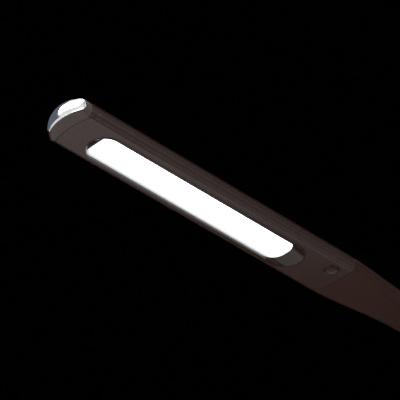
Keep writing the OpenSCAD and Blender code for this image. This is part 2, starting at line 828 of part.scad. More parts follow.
module led_chips() {
    first = lit_y + led_inset;
    pitch = (lit_l - 2 * led_inset) / (led_count - 1);
    color([0.95, 0.85, 0.45]) at_head() for (x = [window_x - led_row_x, window_x + led_row_x], i = [0:led_count - 1])
        translate([x - led_s / 2, first + pitch * i - led_s / 2, board_z - led_h]) cube([led_s, led_s, led_h]);
}

module heat_spreader() {
    w = tray_w - 4;
    color(steel) at_head() difference() {
        translate([-w / 2, tray_front, spreader_z]) cube([w, spreader_end - tray_front, spreader_t]);
        each_head_screw() translate([0, 0, spreader_z - eps]) cylinder(r = screw_r + 0.2, h = spreader_t + 2 * eps);
    }
}

// Screws that hold the diode board and the heat spreader to the upper shell
module each_spreader_screw() for (y = spreader_screw_y) translate([0, y, 0]) children();

module each_head_screw() {
    each_spreader_screw() children();
    translate([0, tongue_screw_y, 0]) children();
}

module spreader_screws() {
    color(steel) at_head() {
        each_spreader_screw() head_screw(board_z);
        translate([0, tongue_screw_y, 0]) head_screw(spreader_z);
    }
}

module head_screw(seat) {
    translate([0, 0, seat - screw_head_h]) cylinder(r = screw_head_r, h = screw_head_h);
    translate([0, 0, seat - eps]) cylinder(r = screw_r, h = spreader_z - seat + screw_up - 0.5);
}

// The cap's outline across the head, standing on the nose's front
module cap_outline(inset) {
    intersection() {
        head_outline(0.4 + inset);
        translate([0, nose_rise + cap_h / 2]) rounded(cap_w - 2 * inset, cap_h - 2 * inset, cap_h / 2 - 0.2 - inset);
    }
}

module cap_ring() {
    color(bright) at_head() difference() {
        intersection() {
            along_y(-nose_l - 5, 10) cap_outline(0);
            nose_plan(ring_t, -1, head_t + 2);
        }
        nose_plan(0, -2, head_t + 4);
        translate([0, nose_back, peg_z]) rotate([90, 0, 0]) cylinder(r = peg_r + 0.05, h = 3 * nose_l);
    }
}

module end_cap() {
    front = -nose_l - ring_t - cap_bulge;
    drop = cap_bulge - 0.5;
    fall = drop + nose_r - sqrt(pow(nose_r, 2) - pow(cap_w / 2, 2));
    plan_r = (pow(cap_w / 2, 2) + pow(fall, 2)) / (2 * fall);
    side_r = (pow(cap_h / 2, 2) + pow(drop, 2)) / (2 * drop);
    color(bright) at_head() union() {
        difference() {
            intersection() {
                along_y(front - 1, 10) cap_outline(0.6);
                translate([0, front + plan_r, -1]) cylinder(r = plan_r, h = head_t + 2, $fn = 96);
                union() {
                    translate([0, front + side_r, nose_rise + cap_h / 2]) across_x(head_w) cylinder(r = side_r, h = head_w, $fn = 96);
                    translate([-head_w / 2, front + side_r, 0]) cube([head_w, 20, head_t]);
                }
            }
            nose_plan(ring_t, -1, head_t + 2);
        }
        translate([0, 0, peg_z]) rotate([90, 0, 0]) cylinder(r = peg_r, h = nose_l + ring_t + 1);
    }
}

// ---- button and switch ----

module at_button() at_head() translate([button_x, button_y, 0]) children();

module button_cap() {
    color(brown) at_button() {
        translate([0, 0, -button_proud]) cylinder(r = button_d / 2, h = head_wall + button_proud + 0.3);
        translate([0, 0, button_in]) cylinder(r = button_d / 2 + button_flange, h = button_skirt);
        translate([0, 0, button_top - eps]) cylinder(r = stem_r, h = switch_low + 0.9 - button_top);
    }
}

module switch_spring() {
    inside = stem_r + 0.4;
    h = switch_low - button_top - 2 * spring_gap;
    color(steel) at_button() translate([0, 0, button_top + spring_gap]) difference() {
        cylinder(r = inside + 0.4, h = h);
        translate([0, 0, -eps]) cylinder(r = inside, h = h + 2 * eps);
    }
}

module switch_body() {
    side = 6.4;
    color(dark) at_button() difference() {
        translate([-side / 2, -side / 2, switch_low]) cube([side, side, switch_board_z - switch_low]);
        translate([0, 0, switch_low - eps]) cylinder(r = stem_r + 0.2, h = button_travel + 1 + eps);
    }
}

module switch_board() {
    size = [15, 13, 1.2];
    color(green) at_button() translate([-size.x / 2 + 0.5, -size.y / 2, switch_board_z]) cube(size);
}

module head_lead() {
    y0 = spreader_end + 1;
    color(dark) at_head() translate([-tongue_w / 2 - wire_r - 1, y0, beam_z + 2]) rotate([-90, 0, 0])
        cylinder(r = wire_r, h = knuckle_y - neck_cheek_r - 4 - y0);
}

foot_pad();
base_plate();
base_weight();
base_cover();
base_screws();
driver_board();
power_jack();
jack_pin();
hinge_post();
post_screws();
base_hinge_pin();
base_hinge_nut();
base_hinge_washers();
base_hinge_caps();
arm_lower_lug();
arm_core();
arm_upper_lug();
arm_front_shell();
arm_rear_shell();
arm_screws();
arm_lead();
neck_bracket();
knuckle_pin();
knuckle_nut();
knuckle_washers();
knuckle_caps();
neck_top_shell();
neck_bottom_shell();
head_top_shell();
head_bottom_panel();
window_bezel();
diffuser();
reflector_tray();
led_board();
led_chips();
heat_spreader();
spreader_screws();
end_cap();
cap_ring();
switch_board();
switch_body();
switch_spring();
button_cap();
head_lead();
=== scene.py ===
import json
import math

import bmesh
import bpy
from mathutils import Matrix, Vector


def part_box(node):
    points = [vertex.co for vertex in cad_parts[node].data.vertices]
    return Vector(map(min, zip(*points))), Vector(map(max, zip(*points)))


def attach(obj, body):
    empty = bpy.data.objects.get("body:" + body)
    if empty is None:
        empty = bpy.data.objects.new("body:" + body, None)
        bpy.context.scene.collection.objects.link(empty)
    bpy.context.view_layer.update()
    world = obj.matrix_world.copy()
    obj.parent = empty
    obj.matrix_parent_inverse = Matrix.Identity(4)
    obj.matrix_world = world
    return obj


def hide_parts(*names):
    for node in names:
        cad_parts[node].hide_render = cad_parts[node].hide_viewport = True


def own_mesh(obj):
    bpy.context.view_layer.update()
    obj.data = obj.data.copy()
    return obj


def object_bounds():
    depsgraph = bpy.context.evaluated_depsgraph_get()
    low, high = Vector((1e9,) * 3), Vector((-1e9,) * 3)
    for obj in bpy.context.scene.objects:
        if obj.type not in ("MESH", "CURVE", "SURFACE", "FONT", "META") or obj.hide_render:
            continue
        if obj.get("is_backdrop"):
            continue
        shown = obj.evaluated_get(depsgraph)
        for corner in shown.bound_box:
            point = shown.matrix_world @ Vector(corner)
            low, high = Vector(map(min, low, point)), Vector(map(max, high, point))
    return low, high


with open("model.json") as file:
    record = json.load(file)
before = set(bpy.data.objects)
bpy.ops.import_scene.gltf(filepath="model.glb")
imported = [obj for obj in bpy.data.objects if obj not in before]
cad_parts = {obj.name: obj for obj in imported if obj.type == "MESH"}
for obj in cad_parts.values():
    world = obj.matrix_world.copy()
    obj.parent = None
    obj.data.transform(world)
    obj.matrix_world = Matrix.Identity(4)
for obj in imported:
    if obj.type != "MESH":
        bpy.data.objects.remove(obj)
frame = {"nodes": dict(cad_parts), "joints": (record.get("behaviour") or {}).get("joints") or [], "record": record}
nodes = frame["nodes"]
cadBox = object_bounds()
print("frame loaded:", len(nodes), "solids")

mm = 0.001
past = 1 * mm  # how far a cutting tool runs past what it cuts
panelLow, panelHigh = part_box("head_bottom_panel")
seamGap = 0.3 * mm
headLength = 285.5 * mm
headOrigin = Vector((0, panelHigh.y - headLength, panelLow.z))  # where the underside turns up to the nose
jointPlace = {joint["name"]: joint.get("pos_m") for joint in frame["joints"]}
baseHinge = Vector(jointPlace["arm_fold"])
knuckle = Vector(jointPlace["head_fold"])


# ---- modelling helpers ----

def deselectAll():
    if bpy.context.mode != "OBJECT":
        bpy.ops.object.mode_set(mode="OBJECT")
    bpy.ops.object.select_all(action="DESELECT")


def makeActive(piece):
    deselectAll()
    piece.select_set(True)
    bpy.context.view_layer.objects.active = piece


def settle(piece, origin=None):  # moves a piece to where it belongs and leaves that place in its mesh
    makeActive(piece)
    if origin is not None:
        piece.location = piece.location + Vector(origin)
    bpy.ops.object.transform_apply(location=True, rotation=True, scale=True)
    return piece


def addBlock(name, low, high):
    deselectAll()
    low, high = Vector(low), Vector(high)
    bpy.ops.mesh.primitive_cube_add(size=1, location=(low + high) / 2, scale=high - low)
    block = bpy.context.object
    block.name = block.data.name = name
    return settle(block)


def addRod(name, start, axis, length, radius, sides=64, tipRadius=None):  # round bar from a point along an axis
    deselectAll()
    axis = Vector(axis).normalized()
    middle = Vector(start) + axis * (length / 2)
    turn = axis.to_track_quat("Z", "Y").to_euler()
    bpy.ops.mesh.primitive_cone_add(vertices=sides, radius1=radius, radius2=radius if tipRadius is None else tipRadius,
                                    depth=length, location=middle, rotation=turn)
    rod = bpy.context.object
    rod.name = rod.data.name = name
    return settle(rod)


def pick(piece, kind, test):  # edit mode with only the edges or faces that pass the test selected
    makeActive(piece)
    bpy.ops.object.mode_set(mode="EDIT")
    bpy.ops.mesh.select_mode(type=kind)
    bpy.ops.mesh.select_all(action="DESELECT")
    mesh = bmesh.from_edit_mesh(piece.data)
    mesh.normal_update()
    parts = {"VERT": mesh.verts, "EDGE": mesh.edges, "FACE": mesh.faces}[kind]
    found = [part for part in parts if test(part)]
    for part in found:
        part.select_set(True)
    mesh.select_flush_mode()
    bmesh.update_edit_mesh(piece.data)
    return len(found)


def leaveEdit():
    bpy.ops.object.mode_set(mode="OBJECT")


def near(value, target, slack=1e-5):
    return abs(value - target) < slack


def ends(edge):
    return edge.verts[0].co, edge.verts[1].co


def longWay(edge, axis):  # an edge that runs along one axis
    a, b = ends(edge)
    run = b - a
    return abs(run[axis]) > 0.999 * run.length


def runsBack(edge):  # an edge whose ends differ in y
    a, b = ends(edge)
    return not near(a.y, b.y)


def roundEdges(piece, test, radius, segments=8):
    if pick(piece, "EDGE", test):
        bpy.ops.mesh.bevel(offset=radius, segments=segments, profile=0.5, affect="EDGES", clamp_overlap=False)
    leaveEdit()


def shape(piece, tool, operation="DIFFERENCE"):  # the tool is used up
    makeActive(piece)
    modifier = piece.modifiers.new("shape", "BOOLEAN")
    modifier.operation = operation
    modifier.solver = "EXACT"
    modifier.object = tool
    bpy.ops.object.modifier_apply(modifier=modifier.name)
    bpy.data.objects.remove(tool, do_unlink=True)
    return piece


def copyOf(piece, name):
    twin = piece.copy()
    twin.data = piece.data.copy()
    twin.name = twin.data.name = name
    bpy.context.scene.collection.objects.link(twin)
    return twin


def joined(pieces, name):
    deselectAll()
    for piece in pieces:
        piece.select_set(True)
    bpy.context.view_layer.objects.active = pieces[0]
    bpy.ops.object.join()
    whole = bpy.context.object
    whole.name = whole.data.name = name
    return whole


def hulled(pieces, name):  # one tight skin over several convex pieces
    whole = joined(pieces, name)
    makeActive(whole)
    bpy.ops.object.mode_set(mode="EDIT")
    bpy.ops.mesh.select_all(action="SELECT")
    bpy.ops.mesh.convex_hull()
    leaveEdit()
    return whole


def cleanMesh(piece, distance=2e-6):  # no double points or slivers, and every normal outwards
    makeActive(piece)
    bpy.ops.object.mode_set(mode="EDIT")
    bpy.ops.mesh.select_all(action="SELECT")
    bpy.ops.mesh.remove_doubles(threshold=distance)
    bpy.ops.mesh.dissolve_degenerate(threshold=distance)
    bpy.ops.mesh.normals_make_consistent(inside=False)
    leaveEdit()


def softenEdges(piece, width=0.25 * mm, segments=2, angle=32):  # the small radius that a moulded edge has
    cleanMesh(piece)
    modifier = piece.modifiers.new("softEdge", "BEVEL")
    modifier.width = width
    modifier.segments = segments
    modifier.limit_method = "ANGLE"
    modifier.angle_limit = math.radians(angle)
    modifier.use_clamp_overlap = True
    bpy.ops.object.modifier_apply(modifier=modifier.name)
    return piece


def smooth(piece, angle=30):  # round edges shade round while the large faces beside them stay flat
    makeActive(piece)
    bpy.ops.object.shade_smooth_by_angle(angle=math.radians(angle), keep_sharp_edges=False)
    modifier = piece.modifiers.new("flatFaces", "WEIGHTED_NORMAL")
    modifier.mode = "FACE_AREA"
    modifier.weight = 50
    modifier.keep_sharp = True
    bpy.ops.object.modifier_apply(modifier=modifier.name)
    return piece


def finishPiece(piece, body, material, slotName, *replaced):
    piece.data.materials.clear()
    piece.data.materials.append(material)
    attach(piece, body)
    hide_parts(*replaced)
    return piece


def nudge(piece, test, shift):  # moves each point that passes the test by its own amount
    makeActive(piece)
    bpy.ops.object.mode_set(mode="EDIT")
    mesh = bmesh.from_edit_mesh(piece.data)
    for vert in mesh.verts:
        if test(vert.co):
            vert.co += Vector(shift(vert.co))
    bmesh.update_edit_mesh(piece.data)
    leaveEdit()


def splitEdges(piece, test, cuts):  # cuts the edges that pass the test into equal lengths
    pick(piece, "EDGE", test)
    bpy.ops.mesh.subdivide(number_cuts=cuts)
    leaveEdit()


def smoothStep(share):  # eases in and out between 0 and 1
    share = min(max(share, 0), 1)
    return share * share * (3 - 2 * share)


roundReach = 0.9  # how far in from the side a round edge of an arched block runs, in its own radii


# An arched block: flat sides and a top that follows a wide arc, blended into the sides by round edges.
# widthAt gives its width along y, where it tapers.
def archedBlock(name, width, low, top, start, finish, cornerRadius, wideRadius, widthAt=None, slices=0, strips=16):
    half = width / 2
    centre = top - wideRadius
    rounded = roundReach * cornerRadius
    crown = lambda x: centre + math.sqrt(wideRadius ** 2 - x ** 2)
    block = addBlock(name, (-half, start, low), (half, finish, top))
    splitEdges(block, lambda edge: longWay(edge, 0) and near(ends(edge)[0].z, top), strips - 1)
    if slices:
        splitEdges(block, lambda edge: longWay(edge, 1), slices - 1)
    step = width / strips

    def newPlace(point):
        here = (widthAt(point.y) if widthAt else width) / 2
        side = math.copysign(1, point.x)
        onTop = point.z > top - 1e-6
        if not onTop or abs(point.x) > half - 1e-6:
            x = side * here
        else:
            x = side * (here - rounded) * abs(point.x) / (half - step)
        return (x - point.x, 0, crown(x) - point.z if onTop else 0)

    nudge(block, lambda point: True, newPlace)
    turn = math.pi / 2 - math.atan2(crown(half - rounded) - crown(half), rounded)

    def topCorner(edge):
        atSide = all(near(abs(end.x), (widthAt(end.y) if widthAt else width) / 2) for end in ends(edge))
        return atSide and all(near(end.z, crown(end.x)) for end in ends(edge)) and runsBack(edge)

    roundEdges(block, topCorner, cornerRadius * math.tan(turn / 2), 10)
    return block


# ---- light head: shells, recess and window ----
# The head is modelled with its underside at z 0 and the start of its nose at y 0.

head = dict(width=47 * mm, thick=17.8 * mm, length=headLength, wall=2 * mm,
            lowerRadius=5 * mm, upperRadius=7 * mm, crownRadius=60 * mm, seamHeight=6.6 * mm,
            noseLength=6.5 * mm, noseRise=4.7 * mm, noseRadius=46.7 * mm, noseCorner=8 * mm, noseBack=6 * mm,
            noseBow=200 * mm, bowCorner=0.5 * mm, seamFront=1.2 * mm, seamBow=75 * mm, seamCorner=9 * mm,
            seamWide=1.4 * seamGap, rearCorner=16 * mm, rearEnd=math.radians(160))
spare = dict(side=0.01 * mm, back=10 * mm, top=2 * mm, ahead=50 * mm)  # how far plans reach past the head


def roundLowerEdges(block, height, radius, halfWidthAt):
    def lowCorner(edge):
        low = all(near(end.z, height) and near(abs(end.x), halfWidthAt(end.y)) for end in ends(edge))
        return low and runsBack(edge)

    roundEdges(block, lowCorner, radius)


def headBar(name, start, finish, inset=0):  # the head's section between two places along y
    bar = archedBlock(name, head["width"] - 2 * inset, inset, head["thick"] - inset, start, finish,
                      head["upperRadius"] - inset, head["crownRadius"] - inset)
    roundLowerEdges(bar, inset, head["lowerRadius"] - inset, lambda y: head["width"] / 2 - inset)
    return bar


def planOf(block):  # turns an arched block on its back, so that its arch faces the front of the head
    block.rotation_euler = (math.radians(90), 0, 0)
    return settle(block)


def nosePlan(forward=0):  # what lies behind the nose's arched front, moved forward by a distance
    return planOf(archedBlock("nosePlan", head["width"] + spare["side"], -head["length"] - spare["back"],
                              head["noseLength"] + forward, -spare["top"], head["thick"] + spare["top"],
                              head["noseCorner"], head["noseRadius"]))


def frontArc(name, start, radius):  # everything behind an arc across the bar
    return planOf(archedBlock(name, head["width"] + 2 * spare["side"], -head["length"] - spare["back"], -start,
                              -spare["top"], head["thick"] + spare["top"], head["bowCorner"], radius))


def belowSeam(gap):  # what lies behind the bowed front seam and below the side seam, smaller by a gap
    grow = seamGap - gap
    return planOf(archedBlock("belowSeam", head["width"] + 2 * grow, -head["length"] - 2 * past,
                              -head["seamFront"] - gap, -past, head["seamHeight"] - gap / 2,
                              head["seamCorner"] + grow, head["seamBow"] + grow))


def beforeSeam(gap):  # what lies in front of the rear seam, moved back by a gap; it has one large round corner
    radius, wide = head["rearCorner"], 2 * spare["ahead"]
    left, back = radius - head["width"] / 2, head["length"] - radius
    space = addBlock("beforeSeam", (left - radius - gap, -spare["ahead"], -past),
                     (wide, head["length"] + gap, head["thick"]))
    roundEdges(space, lambda edge: longWay(edge, 2) and ends(edge)[0].x < 0 and ends(edge)[0].y > 0, radius + gap, 24)
    bluntX = left + (radius + gap) * math.cos(head["rearEnd"])
    bluntY = back + radius * math.sin(head["rearEnd"]) + gap
    return shape(space, addBlock("blunt", (-wide, -spare["ahead"], -past), (bluntX, bluntY, head["thick"])), "UNION")


def roundedPlate(name, width, length, radius, startX, startY, low, high, segments=16):
    plate = addBlock(name, (startX, startY, low), (startX + width, startY + length, high))
    roundEdges(plate, lambda edge: longWay(edge, 2), radius - 0.001 * mm, segments)
    return plate


cap = dict(width=42.2 * mm, lowCorner=3.6 * mm, highCorner=9 * mm, bulge=2.4 * mm, edgeDrop=2 * mm, ring=0.9 * mm,
           rim=0.4 * mm, inset=0.6 * mm, columns=28, rows=14, front=-20 * mm, back=10 * mm, over=0.3 * mm)


def capOutline(inset, finish):  # the cap's section, from in front of the head to a place along y
    outline = headBar("capOutline", cap["front"], finish, cap["rim"] + inset)
    rounded = addBlock("capEnds", (-cap["width"] / 2 + inset, cap["front"] - past, head["noseRise"] + inset),
                       (cap["width"] / 2 - inset, finish + past, head["thick"]))
    middle = head["thick"] / 2
    roundEdges(rounded, lambda edge: longWay(edge, 1) and ends(edge)[0].z < middle, cap["lowCorner"] - inset, 12)
    roundEdges(rounded, lambda edge: longWay(edge, 1) and ends(edge)[0].z > middle, cap["highCorner"], 12)
    return shape(outline, rounded, "INTERSECT")


bowedBar = shape(headBar("head_bar", 0, head["length"]), frontArc("bowedFront", head["seamFront"], head["noseBow"]),
                 "INTERSECT")
noseTip = shape(capOutline(-cap["rim"], 0), nosePlan(), "INTERSECT")
topShell = hulled([bowedBar, noseTip], "head_top_shell_skin")
shape(topShell, headBar("hollow", head["noseBack"], head["length"] + past, head["wall"]))
shape(topShell, belowSeam(0))

lowerPanel = headBar("head_bottom_panel_skin", 0, head["length"])
shape(lowerPanel, headBar("hollow", -past, head["length"] + past, head["wall"]))
shape(lowerPanel, belowSeam(head["seamWide"]), "INTERSECT")
shape(lowerPanel, beforeSeam(0), "INTERSECT")

window = dict(width=27.4 * mm, middle=-1.5 * mm, depth=2.6 * mm, front=26 * mm, litLength=202 * mm, litFront=4.5 * mm,
              litBack=12 * mm, litRadius=5 * mm, litBackRadius=12 * mm, lip=2.6 * mm, proud=0.35 * mm,
              mouthSide=0.4 * mm, mouthEnd=2.1 * mm, under=1.6 * mm, fit=0.05 * mm, flange=3.2 * mm, lap=3 * mm,
              thick=1.2 * mm, skin=0.01 * mm)
windowLeft = window["middle"] - window["width"] / 2
windowLength = window["litFront"] + window["litLength"] + window["litBack"]
litStart = window["front"] + window["litFront"]


def windowPlate(name, grow, low, high):  # half-round ends, grown by a margin all round
    return roundedPlate(name, window["width"] + 2 * grow, windowLength + 2 * grow, window["width"] / 2 + grow,
                        windowLeft - grow, window["front"] - grow, low, high, 24)


shape(lowerPanel, windowPlate("opening", window["lip"] + window["fit"], -past, head["wall"] + past))

bezel = windowPlate("window_bezel_trim", window["lip"], -window["proud"], window["depth"])
shape(bezel, windowPlate("flange", window["flange"], head["wall"], window["depth"]), "UNION")
mouth = roundedPlate("mouth", window["width"] + 2 * window["mouthSide"], windowLength + 2 * window["mouthEnd"],
                     window["width"] / 2 + window["mouthSide"], windowLeft - window["mouthSide"],
                     window["front"] - window["mouthEnd"], -past, 0, 24)


def litFloor(start, radius):  # half of the recess floor, with its own corner radius; one side reaches under the lip
    return roundedPlate("floor", window["width"] + window["under"], window["litLength"] / 2, radius,
                        windowLeft - window["under"], start, window["depth"], window["depth"] + window["skin"], 12)


litMiddle = litStart + window["litLength"] / 2
floors = [litFloor(litStart, window["litRadius"]), litFloor(litMiddle, window["litBackRadius"])]
shape(bezel, hulled([mouth] + floors, "recess"))
print("head shells and window made")

diffuserPlate = roundedPlate("diffuser_plate", window["width"] + 2 * window["lap"],
                             window["litLength"] + 2 * window["lap"], window["litRadius"] + window["lap"],
                             windowLeft - window["lap"], litStart - window["lap"], window["depth"],
                             window["depth"] + window["thick"])


# ---- end cap and its ring ----

def domeBlock():  # bulges both ways, like a sheet pressed over a form
    front = -head["noseLength"] - cap["ring"] - cap["bulge"]
    halfWide, halfHigh = cap["width"] / 2 + past, (head["thick"] - head["noseRise"]) / 2 + cap["over"]
    middle = (head["noseRise"] + head["thick"]) / 2
    fall = cap["edgeDrop"] + head["noseRadius"] - math.sqrt(head["noseRadius"] ** 2 - (cap["width"] / 2) ** 2)
    wide = ((cap["width"] / 2) ** 2 + fall ** 2) / (2 * fall)
    high = (halfHigh ** 2 + cap["edgeDrop"] ** 2) / (2 * cap["edgeDrop"])
    dome = addBlock("dome", (-halfWide, front, middle - halfHigh), (halfWide, cap["back"], middle + halfHigh))
    splitEdges(dome, lambda edge: longWay(edge, 0) and near(ends(edge)[0].y, front), cap["columns"] - 1)
    splitEdges(dome, lambda edge: longWay(edge, 2) and near(ends(edge)[0].y, front), cap["rows"] - 1)

    def sinkAt(point):
        across = wide - math.sqrt(wide ** 2 - point.x ** 2)
        upwards = high - math.sqrt(high ** 2 - (point.z - middle) ** 2)
        return (0, across + upwards, 0)

    nudge(dome, lambda point: near(point.y, front), sinkAt)
    return dome


endCap = capOutline(cap["inset"], cap["back"])
shape(endCap, domeBlock(), "INTERSECT")
shape(endCap, nosePlan(cap["ring"]))
capRing = capOutline(0, cap["back"])
shape(capRing, nosePlan(cap["ring"]), "INTERSECT")
shape(capRing, nosePlan())
print("end cap made")


# ---- push button ----

button = dict(diameter=11.9 * mm, x=10 * mm, back=13.5 * mm, proud=0.6 * mm, gap=0.3 * mm, edge=0.3 * mm,
              rim=0.7 * mm, dish=0.35 * mm, skirtGap=0.1 * mm, skirt=1 * mm, flange=1.4 * mm, stem=1.6 * mm,
              dishSteps=((0.9 * mm, 0.7), (1.6 * mm, 0.25), (1.6 * mm, 0.05)))  # how far in, and its share of the dish
buttonY = head["length"] - button["back"]
buttonRadius = button["diameter"] / 2
buttonIn = head["wall"] + button["skirtGap"]
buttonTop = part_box("button_cap")[1].z - headOrigin.z


def buttonRod(name, low, length, radius, sides=96):
    return addRod(name, (button["x"], buttonY, low), (0, 0, 1), length, radius, sides)


def onButtonRim(edge):
    fromMiddle = math.hypot(ends(edge)[0].x - button["x"], ends(edge)[0].y - buttonY)
    return near(fromMiddle, buttonRadius) and all(near(end.z, -button["proud"]) for end in ends(edge))


pushButton = buttonRod("push_button", -button["proud"], buttonIn + button["proud"], buttonRadius)
pick(pushButton, "FACE", lambda face: face.normal.z < -0.9)
bpy.ops.mesh.inset(thickness=button["rim"], depth=0)
for inwards, share in button["dishSteps"]:
    bpy.ops.mesh.inset(thickness=inwards, depth=-button["dish"] * share)
leaveEdit()
roundEdges(pushButton, onButtonRim, button["edge"], 4)
shape(pushButton, buttonRod("skirt", buttonIn, button["skirt"], buttonRadius + button["flange"]), "UNION")
shape(pushButton, buttonRod("stem", buttonIn, buttonTop - buttonIn, button["stem"], 48), "UNION")
shape(lowerPanel, buttonRod("buttonHole", -past, head["wall"] + 2 * past, buttonRadius + button["gap"]))
print("button made")


# ---- neck ----

neck = dict(taper=94 * mm, width=30 * mm, blend=8 * mm, endPast=13 * mm, endRadius=3.6 * mm,
            slotHalf=13 * mm, slotGap=0.3 * mm, cheekRadius=9 * mm, slotTop=6 * mm, slices=32)
neckStart = head["length"] + seamGap
pivotY = knuckle.y - headOrigin.y
neckEnd = pivotY + neck["endPast"]


def neckWidth(y):  # narrows smoothly from the head's width
    share = (y - head["length"] + neck["blend"]) / neck["taper"]
    return head["width"] - (head["width"] - neck["width"]) * smoothStep(share)


def neckBlock(name, start, finish, inset=0):
    widthAt = lambda y: neckWidth(y) - 2 * inset
    block = archedBlock(name, head["width"] - 2 * inset, inset, head["thick"] - inset, start, finish,
                        head["upperRadius"] - inset, head["crownRadius"] - inset, widthAt, neck["slices"])
    roundLowerEdges(block, inset, head["lowerRadius"] - inset, lambda y: widthAt(y) / 2)
    return block


earStart = head["length"] - head["rearCorner"]
neckShell = neckBlock("neck_shell", earStart, neckEnd)
roundEdges(neckShell, lambda edge: all(near(end.y, neckEnd) for end in ends(edge)), neck["endRadius"], 8)
shape(neckShell, neckBlock("neckHollow", earStart - past, neckEnd - head["wall"], head["wall"]))
slotReach = neck["cheekRadius"] + neck["slotGap"]
shape(neckShell, addBlock("knuckleSlot", (-neck["slotHalf"], pivotY - slotReach, -past),
                          (neck["slotHalf"], pivotY + slotReach, neck["slotTop"])))


def halfOf(whole, name, low, high):  # a copy of the part of a piece that lies within a block
    part = copyOf(whole, name)
    return shape(part, addBlock("keep", low, high), "INTERSECT")


far, tall = 0.5, 0.1
neckTop = halfOf(neckShell, "neck_top_skin", (-far, neckStart, head["seamHeight"] + seamGap / 2), (far, far, tall))
neckBottom = halfOf(neckShell, "neck_bottom_skin", (-far, -far, -tall), (far, far, head["seamHeight"] - seamGap / 2))
shape(neckBottom, beforeSeam(seamGap))  # its front corner fills the panel's round one
bpy.data.objects.remove(neckShell, do_unlink=True)
print("neck made")


# ---- hinge cheeks, shared by the knuckle and the base hinge ----

hinge = dict(washer=1 * mm, side=0.1 * mm, nut=2.6 * mm, capThick=1 * mm, recess=6.4 * mm, recessGap=0.2 * mm,
             capProud=0.8 * mm, capSlope=0.5 * mm, pin=3 * mm,
             capRings=((0.9 * mm, 0), (0.3 * mm, -0.25 * mm), (1.5 * mm, -0.05 * mm)))  # how far in and how deep
knuckleHinge = dict(lug=13 * mm, cheek=5 * mm, radius=9 * mm)
baseHingeSizes = dict(lug=18 * mm, cheek=6 * mm, radius=10 * mm)


def cheekIn(sizes):  # from the middle to a cheek's inner face
    return sizes["lug"] / 2 + hinge["washer"] + 2 * hinge["side"]


def cheekOut(sizes):
    return cheekIn(sizes) + sizes["cheek"]


def eachSide(shapeOne, name):
    return joined([shapeOne(-1), shapeOne(1)], name)


def hingeCover(name, centre, sizes):  # a domed cover that hides the pin's end, one on each side
    radius = hinge["recess"] - hinge["recessGap"]

    def oneCover(side):
        seat = side * (cheekOut(sizes) - hinge["capThick"])
        cover = addRod(name, (centre.x + seat, centre.y, centre.z), (side, 0, 0), hinge["capThick"] + hinge["capProud"],
                       radius, 64, radius - hinge["capSlope"])
        pick(cover, "FACE", lambda part: part.normal.x * side > 0.95)
        for inwards, depth in hinge["capRings"]:
            bpy.ops.mesh.inset(thickness=inwards, depth=depth)
        leaveEdit()
        return cover

    return eachSide(oneCover, name)


knuckleCovers = hingeCover("knuckle_covers", knuckle, knuckleHinge)
baseCovers = hingeCover("base_hinge_covers", baseHinge, baseHingeSizes)
print("hinge covers made")


def twoCheeks(name, centre, sizes, reach):  # round-ended cheeks on both sides of a lug; a reach below 0 goes down
    inside, outside, radius = cheekIn(sizes), cheekOut(sizes), sizes["radius"]
    low, high = sorted((centre.z, centre.z + reach))

    def oneCheek(side):
        cheek = addRod(name, (centre.x + side * inside, centre.y, centre.z), (side, 0, 0), outside - inside, radius, 96)
        left, right = sorted((side * inside, side * outside))
        block = addBlock("cheekBlock", (left, centre.y - radius, low), (right, centre.y + radius, high))
        return shape(cheek, block, "UNION")

    return eachSide(oneCheek, name)


def boreCheeks(piece, centre, sizes):  # the pin's hole, and a wide seat for its nut and cover on each side
    outside = cheekOut(sizes)
    depth = hinge["nut"] + hinge["capThick"]
    shape(piece, addRod("bore", (centre.x - 2 * outside, centre.y, centre.z), (1, 0, 0), 4 * outside, hinge["pin"], 48))
    for side in (-1, 1):
        seat = (centre.x + side * (outside - depth), centre.y, centre.z)
        shape(piece, addRod("recess", seat, (side, 0, 0), depth + past, hinge["recess"], 64))
    return piece


# ---- knuckle bracket ----

bracket = dict(beamFrom=4 * mm, beamLow=5 * mm, beamWidth=14 * mm, webLow=-1.5 * mm, tongue=48 * mm,
               tongueThick=1.6 * mm)
bracketLow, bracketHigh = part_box("neck_bracket")
webHalf, beamHalf = cheekOut(knuckleHinge), bracket["beamWidth"] / 2
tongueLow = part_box("heat_spreader")[1].z
knuckleBracket = twoCheeks("knuckle_bracket", knuckle, knuckleHinge, bracketHigh.z - knuckle.z)
for blockName, low, high in (
        ("web", (-webHalf, knuckle.y - knuckleHinge["radius"], headOrigin.z + bracket["webLow"]),
         (webHalf, knuckle.y + knuckleHinge["radius"], bracketHigh.z)),
        ("beam", (-beamHalf, headOrigin.y + head["length"] - bracket["beamFrom"], headOrigin.z + bracket["beamLow"]),
         (beamHalf, knuckle.y, bracketHigh.z)),
        ("tongue", (-beamHalf, bracketLow.y, tongueLow),
         (beamHalf, bracketLow.y + bracket["tongue"], tongueLow + bracket["tongueThick"]))):
    shape(knuckleBracket, addBlock(blockName, low, high), "UNION")
boreCheeks(knuckleBracket, knuckle, knuckleHinge)
print("knuckle bracket made")


# ---- arm ----

arm = dict(wall=1.8 * mm, corner=6 * mm, slotExtra=0.4 * mm, slotDeep=10.4 * mm, slotHigh=4 * mm)
armScrew = dict(count=4, hole=1.45 * mm, holeDepth=4 * mm, headThick=0.6 * mm, rim=0.35 * mm, rimRise=0.12 * mm,
                socket=1.1 * mm, socketDepth=0.1 * mm, shank=1.25 * mm)
armLow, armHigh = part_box("arm_front_shell")
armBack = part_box("arm_rear_shell")[1].y
armHalfWide = armHigh.x


def armTube(name, inset):
    tube = addBlock(name, (-armHalfWide + inset, armLow.y + inset, armLow.z + inset),
                    (armHalfWide - inset, armBack - inset, armHigh.z - inset))
    roundEdges(tube, lambda edge: longWay(edge, 2), arm["corner"] - inset, 12)
    return tube


